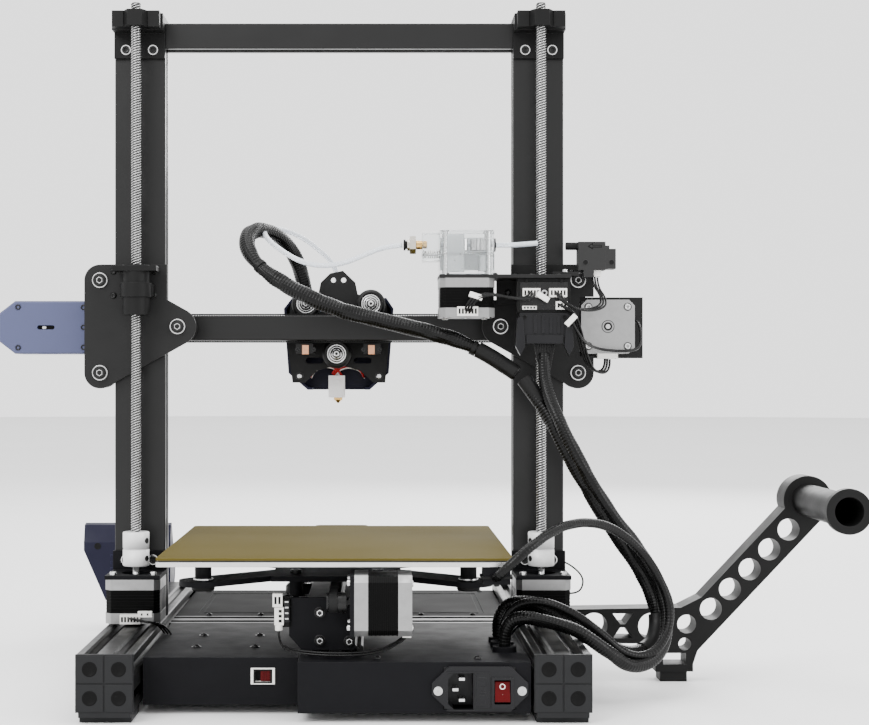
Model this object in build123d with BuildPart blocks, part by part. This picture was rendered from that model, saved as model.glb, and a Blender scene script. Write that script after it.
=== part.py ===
"""FDM 3D printer: a bed that slides front to back under a gantry that two lead screws lift.

Millimetres. The origin is on the floor at the centre of the base, +X to the printer's left as seen
from the back, +Y to the back (where the power inlet is) and +Z up.
"""

import os
from math import pi, radians, tan

from build123d import *

# ---- driving dimensions -------------------------------------------------------------------------

# aluminium extrusion on a 20 mm grid
GRID = 20
SLOT_MOUTH = 9.2
SLOT_NECK = 6.2
SLOT_CAVITY = 11.0
SLOT_DEPTH = 6.0

# base
FOOT_HEIGHT = 7.5
RAIL_IN, RAIL_OUT = 138, 178
RAIL_X = (RAIL_IN + RAIL_OUT) / 2
BAR_HALF = RAIL_IN - 0.05
RAIL_TOP = FOOT_HEIGHT + 2 * GRID
RAIL_HALF_LENGTH = 200
CAP_THICKNESS = 3
DECK_TOP = 40
SHEET = 1.5
HOUSING_BOTTOM = 6.5
HOUSING_FRONT = 5.2
BOARD_BOX = (26, 136)
BOARD_BOX_REAR = 170
POWER_BOX = (-136, 25)
POWER_BOX_REAR = 200
POWER_BOX_TOP = 42
GLANDS = ((-122, 100), (-122, 122), (-122, 144))
GLAND_R = 8.5
GLAND_TOP = 44

# portal frame
UPRIGHT_Y = (8, 28)
UPRIGHT_TOP = 511
TOP_BAR_Z = (499.5, 519.5)
CAP_TOP = 524

# lead screws and the motors under them
SCREW_Y = 50.5
SCREW_R = 4.0
SCREW_TOP = 531
COUPLER_R = 10.25
COUPLER_Z = (91.5, 118)
SHAFT_R = 2.5
RUNNING_GAP = 0.06
MOTOR = 42.3
MOTOR_CHAMFER = 4.5
MOTOR_SCREWS = 31
Z_MOTOR_TOP = 83
Z_MOTOR_LENGTH = 34
BRACKET = 3

# V wheels
WHEEL_R = 12.0
WHEEL_WIDTH = 10.2
WHEEL_CROWN = 5.8
WHEEL_STANDOFF = 10.6
BOLT_R = 2.5

# bed
RAIL_Z = (DECK_TOP, DECK_TOP + 2 * GRID)
Y_RAIL = (-235, 157)
BED_Y = 59.5
BED_HALF_X, BED_HALF_Y = 125, 127.5
BED_PLATE_Z = (105.8, 109.2)
MAGNET_TOP = 110.4
SHEET_TOP = 112.0
CARRIAGE_Z = (88, 92)
BED_WHEEL_Z = RAIL_Z[1] - GRID / 2
BED_WHEEL_Y = (24.5, 104.5)
BELT_X = 1.0
BELT_WIDTH = 6
BELT_THICK = 1.4
BELT_GAP = 0.2
PULLEY_R = 5.2
Y_PULLEY = (178.5, 80)
Y_IDLER = (-246, 80)
IDLER_MOUNT_TOP = 87.4
Y_MOTOR_FACE = -14
Y_MOTOR_LENGTH = 40

# gantry, at rest
GANTRY_Z = 278.5
BEAM_X = (-190, 200)
BEAM_Y = (-40, 0)
BEAM_Z = (GANTRY_Z - 10, GANTRY_Z + 10)
FRONT_PLATE_Y = (0, 3)
REAR_PLATE_Y = (33, 36)
Z_WHEEL_Y = 18
OUTER_WHEEL_X = RAIL_OUT + WHEEL_STANDOFF
INNER_WHEEL_X = RAIL_IN - WHEEL_STANDOFF
OUTER_WHEEL_Z = (GANTRY_Z - 36.5, GANTRY_Z + 36.5)
X_MOTOR_X = -212.1
X_MOTOR_LENGTH = 34
X_IDLER_X = 232
X_BELT_Y = -10
X_PULLEY_R = 10.1
NUT_R = 12
LEFT_NUT_Z = (287, 326)
RIGHT_NUT_Z = (274, 313)
TENSIONER_X = (200.5, 273.5)
TENSIONER_Y = (-24, 14)
TENSIONER_Z = (257.3, 299.7)

# extruder
EXTRUDER = (-98.8, 58.2)
BRACKET_Z = (314.4, 317)
EXTRUDER_TOP = 351
EXTRUDER_MOTOR_LENGTH = 30
FEED_Z = 341

# print head, at rest
HEAD_X = 1.8
HEAD_PLATE_Y = (-45, -42)
HEAD_WHEEL_Y = -30
TOP_WHEELS_X = (-25.0, 28.6)
LOW_WHEEL_X = 3.3
NOZZLE_Z = 216.7
HOTEND_XY = (2.8, -60)
FAN = (HEAD_X, 268)
FAN_R = 17

# spool holder
ARM_Y = (22, 46)
HUB = (-367.5, 142.2)
HUB_R = 19
TUBE_R = 12.5
TUBE_BORE_R = 10.5
FLANGE_R = 16.5
TUBE_END = 159

# mains inlet and voltage selector, on the back faces of the two boxes
INLET_X = (-133.8, -67.6)
INLET_Z = (8.3, 39.3)
SOCKET_X, SOCKET_Z = (-96, -78.6), (9.6, 34.6)
ROCKER_X, ROCKER_Z = (-121.4, -110.8), (13.7, 29.7)
SELECTOR_X, SELECTOR_Z = 51, 27

# free cords: route, then sleeve diameter
HEAD_SLEEVE, MAIN_SLEEVE, RIBBON_SLEEVE, BED_SLEEVE, BOWDEN_D = 13, 13, 10, 7, 4
HEAD_ROUTE = [
    (29, -50, 308), (33, -48, 326), (41, -38, 344), (52, -22, 356), (65, -2, 359), (74, 18, 353),
    (73, 36, 338), (58, 48, 321), (31, 55, 304), (-5, 58, 289), (-47, 60, 279), (-88, 61, 269),
    (-117, 63, 256), (-138, 66, 241),
]
MAIN_ROUTE = [
    (-143, 68, 237), (-159, 74, 215), (-171, 79, 190), (-185, 83, 164), (-201, 87, 136),
    (-219, 90, 109), (-235, 92, 84), (-243, 95, 58), (-236, 108, 37), (-215, 124, 33),
    (-193, 132, 44), (-172, 128, 60), (-150, 116, 70), (-131, 104, 70), (-122, 100, 60),
    (-122, 100, GLAND_TOP),
]
RIBBON_ROUTE = [
    (-158, 72, 257), (-158, 72, 241), (-160, 79, 226), (-167, 89, 207), (-178, 95, 184),
    (-191, 99, 159),
    (-207, 102, 134), (-227, 104, 109), (-242, 108, 82), (-246, 116, 55), (-236, 132, 33),
    (-214, 148, 28), (-195, 158, 42), (-175, 161, 57), (-152, 156, 64), (-132, 148, 66),
    (-122, 144, 57), (-122, 144, GLAND_TOP),
]
BED_ROUTE = [
    (-112, 186, 99), (-112, 196, 99), (-118, 204, 106), (-131, 203, 118), (-146, 192, 128),
    (-162, 175, 134), (-179, 158, 135), (-197, 144, 131), (-213, 134, 121), (-228, 128, 106),
    (-239, 125, 88), (-246, 126, 68), (-242, 131, 48), (-228, 138, 35), (-209, 143, 37),
    (-192, 143, 53), (-173, 139, 67), (-152, 131, 75), (-133, 124, 72), (-122, 122, 58),
    (-122, 122, GLAND_TOP),
]
BOWDEN_ROUTE = [
    (-49.5, 58, 341), (-36, 58, 340), (-19, 56, 333), (-4, 54, 327), (13, 50, 325), (30, 43, 329),
    (45, 33, 338), (57, 19, 348), (62, 1, 356), (58, -18, 361), (46, -34, 361), (31, -46, 355),
    (19, -53, 346), (10, -58, 338), (4, -59.8, 329), (2.8, -60, 315.2),
]

LOW = (Align.CENTER, Align.CENTER, Align.MIN)
pieces = {}


# ---- shapes that repeat -------------------------------------------------------------------------


def block(x, y, z, mode=Mode.ADD):
    """A box from its (low, high) span along each axis."""
    with Locations(((x[0] + x[1]) / 2, (y[0] + y[1]) / 2, (z[0] + z[1]) / 2)):
        Box(abs(x[1] - x[0]), abs(y[1] - y[0]), abs(z[1] - z[0]), mode=mode)


def rod(start, direction, radius, length, mode=Mode.ADD):
    """A cylinder that leaves `start` along `direction`."""
    with Locations(Plane(origin=start, z_dir=direction)):
        Cylinder(radius, length, align=LOW, mode=mode)


def at_depth(y):
    """The sketch plane at depth y: sketch x is X and sketch y is Z; extrude(-t) goes to the back."""
    return Plane.XZ.offset(-y)


def across(x):
    """The sketch plane at x: sketch x is Y and sketch y is Z; extrude(t) goes along +X."""
    return Plane.YZ.offset(x)


def slot(x, y, turn):
    """Cut one V slot, its mouth at (x, y) and facing up before the turn, from the sketch."""
    m, n, c = SLOT_MOUTH / 2, SLOT_NECK / 2, SLOT_CAVITY / 2
    side = [(m, 0), (n, n - m), (n, n - m - 0.4), (c, n - m - 0.4), (c, -3.4), (n - 0.2, -SLOT_DEPTH)]
    outline = side + [(-px, py) for px, py in reversed(side)]
    with Locations((x, y)):
        Polygon(*outline, rotation=turn, align=None, mode=Mode.SUBTRACT)


def extrusion_section(columns, rows, centre, sides="tblr"):
    """The section of a V-slot bar of columns by rows 20 mm cells, slotted on the given sides."""
    half_w, half_h = columns * GRID / 2, rows * GRID / 2
    xs = [centre[0] - half_w + GRID * (i + 0.5) for i in range(columns)]
    ys = [centre[1] - half_h + GRID * (i + 0.5) for i in range(rows)]
    with Locations(centre):
        RectangleRounded(2 * half_w, 2 * half_h, 1)
    for x in xs:
        if "t" in sides:
            slot(x, centre[1] + half_h, 0)
        if "b" in sides:
            slot(x, centre[1] - half_h, 180)
    for y in ys:
        if "l" in sides:
            slot(centre[0] - half_w, y, 90)
        if "r" in sides:
            slot(centre[0] + half_w, y, -90)


def stepper(face, axis, roll, length, shaft_hole=True):
    """A NEMA 17 motor with its mounting face at `face`, where the shaft leaves along `axis`."""
    depth = 0
    for share, inset in ((0.24, 0), (0.52, 0.4), (0.24, 0)):
        plane = Plane(origin=face, x_dir=roll, z_dir=axis).offset(-depth)
        with BuildSketch(plane) as section:
            Rectangle(MOTOR - 2 * inset, MOTOR - 2 * inset)
            chamfer(section.vertices(), MOTOR_CHAMFER - inset)
        extrude(section.sketch, amount=-share * length)
        depth += share * length
    if shaft_hole:
        rod(face, [-a for a in axis], SHAFT_R + 0.3, 14, Mode.SUBTRACT)


def v_wheel(centre, axis):
    """A wheel that rides in a V slot, with a bearing bore for its bolt."""
    with BuildPart(Plane(origin=centre, z_dir=axis)) as wheel:
        Cylinder(WHEEL_R, WHEEL_WIDTH)
        chamfer(wheel.edges(), (WHEEL_WIDTH - WHEEL_CROWN) / 2 - 0.01)
        Hole(BOLT_R + RUNNING_GAP)
    return wheel


def wheel_bolt(start, axis, length):
    """The bolt that a wheel turns on."""
    rod(start, axis, BOLT_R, length)


def belt_loop(plane, ends, radius):
    """A belt round two pulleys of one radius, its width centred on the plane."""
    (x0, y0), (x1, y1) = ends
    middle = ((x0 + x1) / 2, (y0 + y1) / 2)
    span = abs(x1 - x0) + abs(y1 - y0)
    inner = radius + BELT_GAP
    outer = inner + BELT_THICK
    with BuildSketch(plane) as section:
        with Locations(middle):
            SlotCenterToCenter(span, 2 * outer)
            SlotCenterToCenter(span, 2 * inner, mode=Mode.SUBTRACT)
    extrude(section.sketch, amount=BELT_WIDTH / 2, both=True)


def pulley(centre, axis, radius, bore=None, shaft=None):
    """A belt pulley with two flanges; a bore for an axle, or a shaft that reaches into a motor."""
    half = BELT_WIDTH / 2 + 0.4
    with BuildPart(Plane(origin=centre, z_dir=axis)) as wheel:
        Cylinder(radius, 2 * half)
        for side in (-1, 1):
            with Locations((0, 0, side * (half + 0.6))):
                Cylinder(radius + 2.0, 1.2)
        if bore:
            Hole(bore)
        if shaft:
            with Locations((0, 0, -half)):
                Cylinder(radius + 2.0, 6, align=(Align.CENTER, Align.CENTER, Align.MAX))
                Cylinder(SHAFT_R, shaft, align=(Align.CENTER, Align.CENTER, Align.MAX))
    return wheel


def cord(name, route, diameter):
    """A round cord: straight runs, each corner rounded as much as its two runs allow."""
    points = [Vector(*p) for p in route]
    radii = []
    for a, b, c in zip(points, points[1:], points[2:]):
        turn = (b - a).get_angle(c - b)
        shorter = min((b - a).length, (c - b).length)
        radii.append(0.45 * shorter / tan(radians(turn / 2)))
    with BuildPart() as tube:
        with BuildLine() as path:
            FilletPolyline(*points, radius=radii)
        with BuildSketch(Plane(origin=points[0], z_dir=points[1] - points[0])):
            Circle(diameter / 2)
        sweep()
    length = sum(edge.length for edge in path.edges())
    ideal = pi * (diameter / 2) ** 2 * length
    print(f"{name}: {length:.0f} mm, least radius {min(radii):.0f}, volume ratio "
          f"{tube.part.volume / ideal:.4f}")
    pieces[name] = tube


# ---- base ---------------------------------------------------------------------------------------

# two side rails, and three cross members that carry the bed's rail
with BuildPart() as base_frame:
    with BuildSketch(at_depth(-RAIL_HALF_LENGTH)):
        for side in (-1, 1):
            extrusion_section(2, 2, (side * RAIL_X, RAIL_TOP - GRID))
    extrude(amount=-2 * RAIL_HALF_LENGTH)
    with BuildSketch(across(-BAR_HALF)):
        extrusion_section(2, 1, (-15, DECK_TOP - GRID / 2), "tb")
        extrusion_section(2, 1, (-170, DECK_TOP - SHEET - GRID / 2), "b")
    extrude(amount=2 * BAR_HALF)
pieces["base_frame"] = base_frame

# plastic caps on the rails' ends, four raised tiles on each, and a foot under each end
with BuildPart() as rail_end_caps:
    for side in (-1, 1):
        for end in (-1, 1):
            y = (end * RAIL_HALF_LENGTH, end * (RAIL_HALF_LENGTH + CAP_THICKNESS))
            block((side * RAIL_IN, side * RAIL_OUT), y, (FOOT_HEIGHT, RAIL_TOP))
            tile_y = (end * (RAIL_HALF_LENGTH + CAP_THICKNESS), end * (RAIL_HALF_LENGTH + 3.8))
            for dx in (-10, 10):
                for dz in (-10, 10):
                    x, z = side * RAIL_X + dx, RAIL_TOP - GRID + dz
                    block((x - 9.3, x + 9.3), tile_y, (z - 9.3, z + 9.3))
            block((side * (RAIL_IN + 2), side * (RAIL_OUT - 2)), (end * 160, end * 198), (0, FOOT_HEIGHT))
            block((side * (RAIL_IN + 2), side * (RAIL_OUT - 2)), (end * 198, end * 203), (4, FOOT_HEIGHT))
pieces["rail_end_caps"] = rail_end_caps

# sheet-metal boxes behind the cross member: the control board's on one side, the supply's on the other
with BuildPart() as rear_housings:
    lid_z = (HOUSING_BOTTOM + SHEET, DECK_TOP)
    block(BOARD_BOX, (HOUSING_FRONT, BOARD_BOX_REAR), lid_z)
    block(
        (BOARD_BOX[0] + SHEET, BOARD_BOX[1] - SHEET),
        (HOUSING_FRONT + SHEET, BOARD_BOX_REAR - SHEET),
        (lid_z[0], lid_z[1] - SHEET),
        Mode.SUBTRACT,
    )
    with Locations((SELECTOR_X, BOARD_BOX_REAR, SELECTOR_Z)):
        Box(15, 4, 9.6, mode=Mode.SUBTRACT)
    block(POWER_BOX, (HOUSING_FRONT, 162), lid_z)
    block(POWER_BOX, (162, POWER_BOX_REAR), (lid_z[0], POWER_BOX_TOP))
    block(
        (POWER_BOX[0] + SHEET, POWER_BOX[1] - SHEET),
        (HOUSING_FRONT + SHEET, POWER_BOX_REAR - SHEET),
        (lid_z[0], lid_z[1] - SHEET),
        Mode.SUBTRACT,
    )
    block((-125.4, -75.6), (196, 204), (INLET_Z[0] + 0.9, INLET_Z[1] - 0.9), Mode.SUBTRACT)
    for x, y in GLANDS:
        rod((x, y, DECK_TOP), (0, 0, 1), GLAND_R, GLAND_TOP - DECK_TOP)
    for box_x, rear in ((BOARD_BOX, BOARD_BOX_REAR), (POWER_BOX, POWER_BOX_REAR)):
        block(box_x, (HOUSING_FRONT, rear), (HOUSING_BOTTOM, lid_z[0]))
pieces["rear_housings"] = rear_housings

# the cover over the front half of the base
with BuildPart() as front_deck:
    block((-RAIL_IN + 0.5, RAIL_IN - 0.5), (-RAIL_HALF_LENGTH, -35.2), (DECK_TOP - SHEET, DECK_TOP))
    block((-120, 120), (-178, -50), (DECK_TOP - 0.6, DECK_TOP), Mode.SUBTRACT)
    block((-116, 116), (-174, -54), (DECK_TOP - 0.61, DECK_TOP), Mode.ADD)
    block(
        (-RAIL_IN + 0.5, RAIL_IN - 0.5),
        (-RAIL_HALF_LENGTH, -RAIL_HALF_LENGTH + SHEET),
        (8, DECK_TOP - SHEET),
    )
pieces["front_deck"] = front_deck

# inside the boxes: the power supply, and the control board with its heat sinks and terminals
with BuildPart() as electronics:
    block((-130, -20), (12, 160), (10, 37))
    block((34, 128), (20, 150), (12, 13.6))
    for i in range(5):
        block((44 + 16 * i, 54 + 16 * i), (70, 80), (13.6, 22))
    block((40, 120), (24, 34), (13.6, 24))
    block((40, 100), (136, 146), (13.6, 24))
    for x in (38, 124):
        for y in (24, 146):
            rod((x, y, 8), (0, 0, 1), 3, 4)
pieces["electronics"] = electronics

# mains inlet: flange with pointed ends, C14 socket with its three pins, fuse drawer, rocker frame
with BuildPart() as power_inlet:
    middle_z = (INLET_Z[0] + INLET_Z[1]) / 2
    half = (INLET_Z[1] - INLET_Z[0]) / 2
    with BuildSketch(at_depth(POWER_BOX_REAR)):
        Polygon(
            (INLET_X[0], middle_z - 4), (INLET_X[0] + 12, INLET_Z[0]), (INLET_X[1] - 12, INLET_Z[0]),
            (INLET_X[1], middle_z - 4), (INLET_X[1], middle_z + 4), (INLET_X[1] - 12, INLET_Z[1]),
            (INLET_X[0] + 12, INLET_Z[1]), (INLET_X[0], middle_z + 4), align=None,
        )
    extrude(amount=-2.5)
    block((-125, -76), (168, POWER_BOX_REAR), (INLET_Z[0] + 1.3, DECK_TOP - SHEET - 0.1))
    with BuildSketch(at_depth(POWER_BOX_REAR + 2.5)):
        x0, x1, z0, z1 = *SOCKET_X, *SOCKET_Z
        Polygon(
            (x0, z0), (x1 - 4, z0), (x1, z0 + 4), (x1, z1 - 4), (x1 - 4, z1), (x0, z1), align=None
        )
    extrude(amount=17, mode=Mode.SUBTRACT)
    for x, z in ((-88.5, 29.4), (-88.5, 14.8), (-84, 22.1)):
        block((x - 2, x + 2), (185, 196), (z - 1, z + 1))
    block((-107.6, -97.2), (202.5, 203.3), (11, 35))
    frame_x = (ROCKER_X[0] - 2.2, ROCKER_X[1] + 2.2)
    block(frame_x, (202.5, 203.4), (ROCKER_Z[0] - 3.4, ROCKER_Z[1] + 2))
    well_x = (ROCKER_X[0] - 0.3, ROCKER_X[1] + 0.3)
    block(well_x, (188, 204), (ROCKER_Z[0] - 0.3, ROCKER_Z[1] + 0.3), Mode.SUBTRACT)
    axle_z = sum(ROCKER_Z) / 2
    rod((ROCKER_X[0] - 1.5, 199, axle_z), (1, 0, 0), 1.2, ROCKER_X[1] - ROCKER_X[0] + 3)
pieces["power_inlet"] = power_inlet

# the rocker rests with its upper half in; it swings 16 degrees about its axle to the other state
with BuildPart() as power_rocker:
    with BuildSketch(across(ROCKER_X[0] + 0.1)):
        Polygon(
            (194.5, axle_z), (197, axle_z - 6.2), (205, axle_z - 6.6), (203, axle_z),
            (201.6, axle_z + 7.2), (196, axle_z + 6.2), align=None,
        )
        with Locations((199, axle_z)):
            Circle(1.2 + RUNNING_GAP, mode=Mode.SUBTRACT)
    extrude(amount=ROCKER_X[1] - ROCKER_X[0] - 0.2)
pieces["power_rocker"] = power_rocker

with BuildPart() as voltage_selector:
    block((SELECTOR_X - 8.5, SELECTOR_X + 8.5), (170, 171.2), (SELECTOR_Z - 5.75, SELECTOR_Z + 5.75))
    block((SELECTOR_X - 7.4, SELECTOR_X + 7.4), (162, 170), (SELECTOR_Z - 4.7, SELECTOR_Z + 4.7))
    well = (SELECTOR_X - 5.6, SELECTOR_X + 5.6), (166, 172), (SELECTOR_Z - 3.9, SELECTOR_Z + 3.9)
    block(*well, Mode.SUBTRACT)
pieces["voltage_selector"] = voltage_selector

with BuildPart() as voltage_slider:
    block((SELECTOR_X - 5.3, SELECTOR_X + 1.6), (166.3, 170.6), (SELECTOR_Z - 3.6, SELECTOR_Z + 3.6))
    block((SELECTOR_X - 2.6, SELECTOR_X - 1.1), (170.5, 171.4), (SELECTOR_Z - 3.6, SELECTOR_Z + 3.6))
pieces["voltage_slider"] = voltage_slider

# ---- portal -------------------------------------------------------------------------------------

middle_y = sum(UPRIGHT_Y) / 2
with BuildPart() as portal_frame:
    with BuildSketch(Plane.XY.offset(RAIL_TOP)):
        for side in (-1, 1):
            extrusion_section(2, 1, (side * RAIL_X, middle_y), "lr")
    extrude(amount=UPRIGHT_TOP - RAIL_TOP)
    with BuildSketch(across(-BAR_HALF)):
        extrusion_section(1, 1, (middle_y, sum(TOP_BAR_Z) / 2), "tb")
    extrude(amount=2 * BAR_HALF)
pieces["portal_frame"] = portal_frame

# caps on the uprights, with the upper bearing of each lead screw
with BuildPart() as top_brackets:
    for side in (-1, 1):
        x = side * RAIL_X
        block((x - 20, x + 20), (6, 44), (UPRIGHT_TOP, CAP_TOP))
        block((x - 20, x + 20), (28, 31.5), (491, UPRIGHT_TOP))
        with BuildSketch(Plane.XY.offset(UPRIGHT_TOP + 0.5)):
            with Locations((x, SCREW_Y)):
                RegularPolygon(11, 6)
            for dx in (-14, 14):
                with Locations((x + dx, 48)):
                    Rectangle(9, 12)
            with Locations((x, 43)):
                Rectangle(22, 8)
        extrude(amount=CAP_TOP - UPRIGHT_TOP - 0.5)
        rod((x, SCREW_Y, 505), (0, 0, 1), SCREW_R + RUNNING_GAP, 30, Mode.SUBTRACT)
pieces["top_brackets"] = top_brackets

with BuildPart() as z_motor_brackets:
    for side in (-1, 1):
        x = side * RAIL_X
        half = MOTOR / 2
        block((x - half, x + half), (28, SCREW_Y + half), (Z_MOTOR_TOP, Z_MOTOR_TOP + BRACKET))
        block((x - half, x + half), (28, 28 + BRACKET), (Z_MOTOR_TOP + BRACKET, 101))
        rod((x, SCREW_Y, Z_MOTOR_TOP - 1), (0, 0, 1), COUPLER_R + 1, 6, Mode.SUBTRACT)
pieces["z_motor_brackets"] = z_motor_brackets

with BuildPart() as base_motors:
    for side in (-1, 1):
        stepper((side * RAIL_X, SCREW_Y, Z_MOTOR_TOP), (0, 0, 1), (1, 0, 0), Z_MOTOR_LENGTH)
    stepper((Y_MOTOR_FACE, *Y_PULLEY), (1, 0, 0), (0, 1, 0), Y_MOTOR_LENGTH)
pieces["base_motors"] = base_motors

for name, side in (("lead_screw_left", 1), ("lead_screw_right", -1)):
    with BuildPart() as lead_screw:
        x = side * RAIL_X
        rod((x, SCREW_Y, COUPLER_Z[0]), (0, 0, 1), COUPLER_R, COUPLER_Z[1] - COUPLER_Z[0])
        rod((x, SCREW_Y, COUPLER_Z[1]), (0, 0, 1), SCREW_R, SCREW_TOP - COUPLER_Z[1])
        rod((x, SCREW_Y, Z_MOTOR_TOP - 10), (0, 0, 1), SHAFT_R, COUPLER_Z[0] - Z_MOTOR_TOP + 10)
    pieces[name] = lead_screw

# ---- bed's rail and drive -----------------------------------------------------------------------

with BuildPart() as y_rail:
    with BuildSketch(at_depth(Y_RAIL[0])):
        extrusion_section(2, 2, (0, sum(RAIL_Z) / 2), "lrb")
        with Locations((0, RAIL_Z[1])):
            Rectangle(12, 20, mode=Mode.SUBTRACT)
    extrude(amount=Y_RAIL[0] - Y_RAIL[1])
pieces["y_rail"] = y_rail

# back: a plate on the rail's end with a side flange for the motor; front: the idler's fork
with BuildPart() as y_end_mounts:
    with BuildSketch(at_depth(Y_RAIL[1])):
        Polygon((-14, 43.6), (24, 43.6), (33, 54), (33, 81), (-14, 81), align=None)
        with Locations((BELT_X, 79)):
            Rectangle(9.4, 14, mode=Mode.SUBTRACT)
    extrude(amount=-BRACKET)
    with BuildSketch(across(Y_MOTOR_FACE)):
        with Locations(Y_PULLEY):
            Rectangle(MOTOR, MOTOR)
            Circle(PULLEY_R + 5, mode=Mode.SUBTRACT)
    extrude(amount=BRACKET)
    fork_y = (Y_IDLER[0] - 9, Y_RAIL[0])
    block((-14, 16), (Y_RAIL[0] - BRACKET, Y_RAIL[0]), (62, IDLER_MOUNT_TOP))
    with Locations((BELT_X, Y_RAIL[0], Y_IDLER[1])):
        Box(10, 12, 16, mode=Mode.SUBTRACT)
    for x in (-8, 8):
        block((BELT_X + x - 1.5, BELT_X + x + 1.5), fork_y, (68, IDLER_MOUNT_TOP))
    rod((BELT_X - 8, *Y_IDLER), (1, 0, 0), 2, 16)
pieces["y_end_mounts"] = y_end_mounts

with BuildPart() as y_belt:
    belt_loop(across(BELT_X), (Y_IDLER, Y_PULLEY), PULLEY_R)
pieces["y_belt"] = y_belt

pieces["y_pulley"] = pulley((BELT_X, *Y_PULLEY), (1, 0, 0), PULLEY_R, shaft=20)
pieces["y_idler"] = pulley((BELT_X, *Y_IDLER), (1, 0, 0), PULLEY_R, bore=2 + RUNNING_GAP)

# the carriage under the bed: an X-shaped plate, wheel bolts, spacers, belt clamp and cable clamp
with BuildPart() as bed_carriage:
    with BuildSketch(Plane.XY.offset(CARRIAGE_Z[0])):
        with Locations((0, BED_Y)):
            Rectangle(96, 130)
            for turn in (-1, 1):
                with Locations((0, 0)):
                    SlotCenterToCenter(258, 32, rotation=turn * 41)
    extrude(amount=CARRIAGE_Z[1] - CARRIAGE_Z[0])
    for sx in (-1, 1):
        for sy in (-1, 1):
            rod((sx * 96, BED_Y + sy * 84, CARRIAGE_Z[1]), (0, 0, 1), 6, BED_PLATE_Z[0] - CARRIAGE_Z[1])
        for y in BED_WHEEL_Y:
            x = sx * (GRID + WHEEL_STANDOFF)
            rod((x, y, CARRIAGE_Z[0]), (0, 0, -1), 5, CARRIAGE_Z[0] - BED_WHEEL_Z - WHEEL_WIDTH / 2 - 0.1)
            wheel_bolt((x, y, CARRIAGE_Z[0]), (0, 0, -1), CARRIAGE_Z[0] - BED_WHEEL_Z + 9)
    for x in (-8, 5.5):
        block((x, x + 4.5), (BED_Y - 16, BED_Y + 16), (84.5, CARRIAGE_Z[0]))
    block((-123, -104), (168, 186), (93.5, BED_PLATE_Z[0]))
pieces["bed_carriage"] = bed_carriage

with BuildPart() as heated_bed:
    with BuildSketch(Plane.XY.offset(BED_PLATE_Z[0])):
        with Locations((0, BED_Y)):
            RectangleRounded(2 * BED_HALF_X, 2 * BED_HALF_Y, 3)
    extrude(amount=BED_PLATE_Z[1] - BED_PLATE_Z[0])
    with BuildSketch(Plane.XY.offset(BED_PLATE_Z[1])):
        with Locations((0, BED_Y)):
            RectangleRounded(2 * BED_HALF_X - 2, 2 * BED_HALF_Y - 2, 3)
    extrude(amount=MAGNET_TOP - BED_PLATE_Z[1])
pieces["heated_bed"] = heated_bed

with BuildPart() as build_sheet:
    with BuildSketch(Plane.XY.offset(MAGNET_TOP)):
        with Locations((0, BED_Y)):
            RectangleRounded(2 * BED_HALF_X, 2 * BED_HALF_Y, 3)
        with Locations((0, BED_Y - BED_HALF_Y)):
            RectangleRounded(44, 16, 5)
    extrude(amount=SHEET_TOP - MAGNET_TOP)
pieces["build_sheet"] = build_sheet

for sx, side in ((1, "left"), (-1, "right")):
    for y, end in zip(BED_WHEEL_Y, ("front", "back")):
        name = f"bed_wheel_{side}_{end}"
        pieces[name] = v_wheel((sx * (GRID + WHEEL_STANDOFF), y, BED_WHEEL_Z), (0, 0, 1))

# ---- gantry -------------------------------------------------------------------------------------

# each end has a back plate, a front plate and the three wheels' bolts between them
with BuildPart() as z_plates:
    for side in (-1, 1):
        wheel_points = [(side * OUTER_WHEEL_X, z) for z in OUTER_WHEEL_Z]
        inner_point = (side * INNER_WHEEL_X, GANTRY_Z)
        with BuildSketch(at_depth(REAR_PLATE_Y[0])):
            with Locations(*wheel_points):
                Circle(12.4)
            with Locations(inner_point):
                Circle(14.5)
            make_hull()
            with Locations((side * 162, 311)):
                Rectangle(52.4, 33)
            if side < 0:
                with Locations((side * 210, GANTRY_Z)):
                    Rectangle(40.4, 47, mode=Mode.SUBTRACT)
        extrude(amount=REAR_PLATE_Y[0] - REAR_PLATE_Y[1])
        with BuildSketch(at_depth(FRONT_PLATE_Y[0])):
            with Locations(*wheel_points):
                Circle(10)
            with Locations(inner_point):
                Circle(12)
            make_hull()
            if side < 0:
                with Locations((-215, GANTRY_Z)):
                    Rectangle(60, 49.2)
        extrude(amount=FRONT_PLATE_Y[0] - FRONT_PLATE_Y[1])
        if side < 0:
            rod((X_MOTOR_X, -1, GANTRY_Z), (0, 1, 0), 6, 6, Mode.SUBTRACT)
        for x, z in [*wheel_points, inner_point]:
            wheel_bolt((x, FRONT_PLATE_Y[1], z), (0, 1, 0), REAR_PLATE_Y[0] - FRONT_PLATE_Y[1])
            rod((x, REAR_PLATE_Y[1], z), (0, 1, 0), 5.2, 3)
            for y0, y1 in ((3, Z_WHEEL_Y - 5.2), (Z_WHEEL_Y + 5.2, 33)):
                rod((x, y0, z), (0, 1, 0), 4.5, y1 - y0)
pieces["z_plates"] = z_plates

with BuildPart() as z_nuts:
    for side, (z0, z1) in ((1, LEFT_NUT_Z), (-1, RIGHT_NUT_Z)):
        x = side * RAIL_X
        rod((x, SCREW_Y, z0), (0, 0, 1), NUT_R - 1.5, z1 - z0)
        rod((x, SCREW_Y, z0 + 14), (0, 0, 1), NUT_R, 11)
        block((x - 13, x + 13), (REAR_PLATE_Y[1], SCREW_Y), (z0 + 15, z0 + 24))
        with BuildSketch(Plane.XY.offset(z1 - 5)):
            with Locations((x, SCREW_Y)):
                Rectangle(34, 22)
        extrude(amount=4)
        rod((x, SCREW_Y, z0 - 1), (0, 0, 1), SCREW_R + RUNNING_GAP, z1 - z0 + 2, Mode.SUBTRACT)
pieces["z_nuts"] = z_nuts

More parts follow.
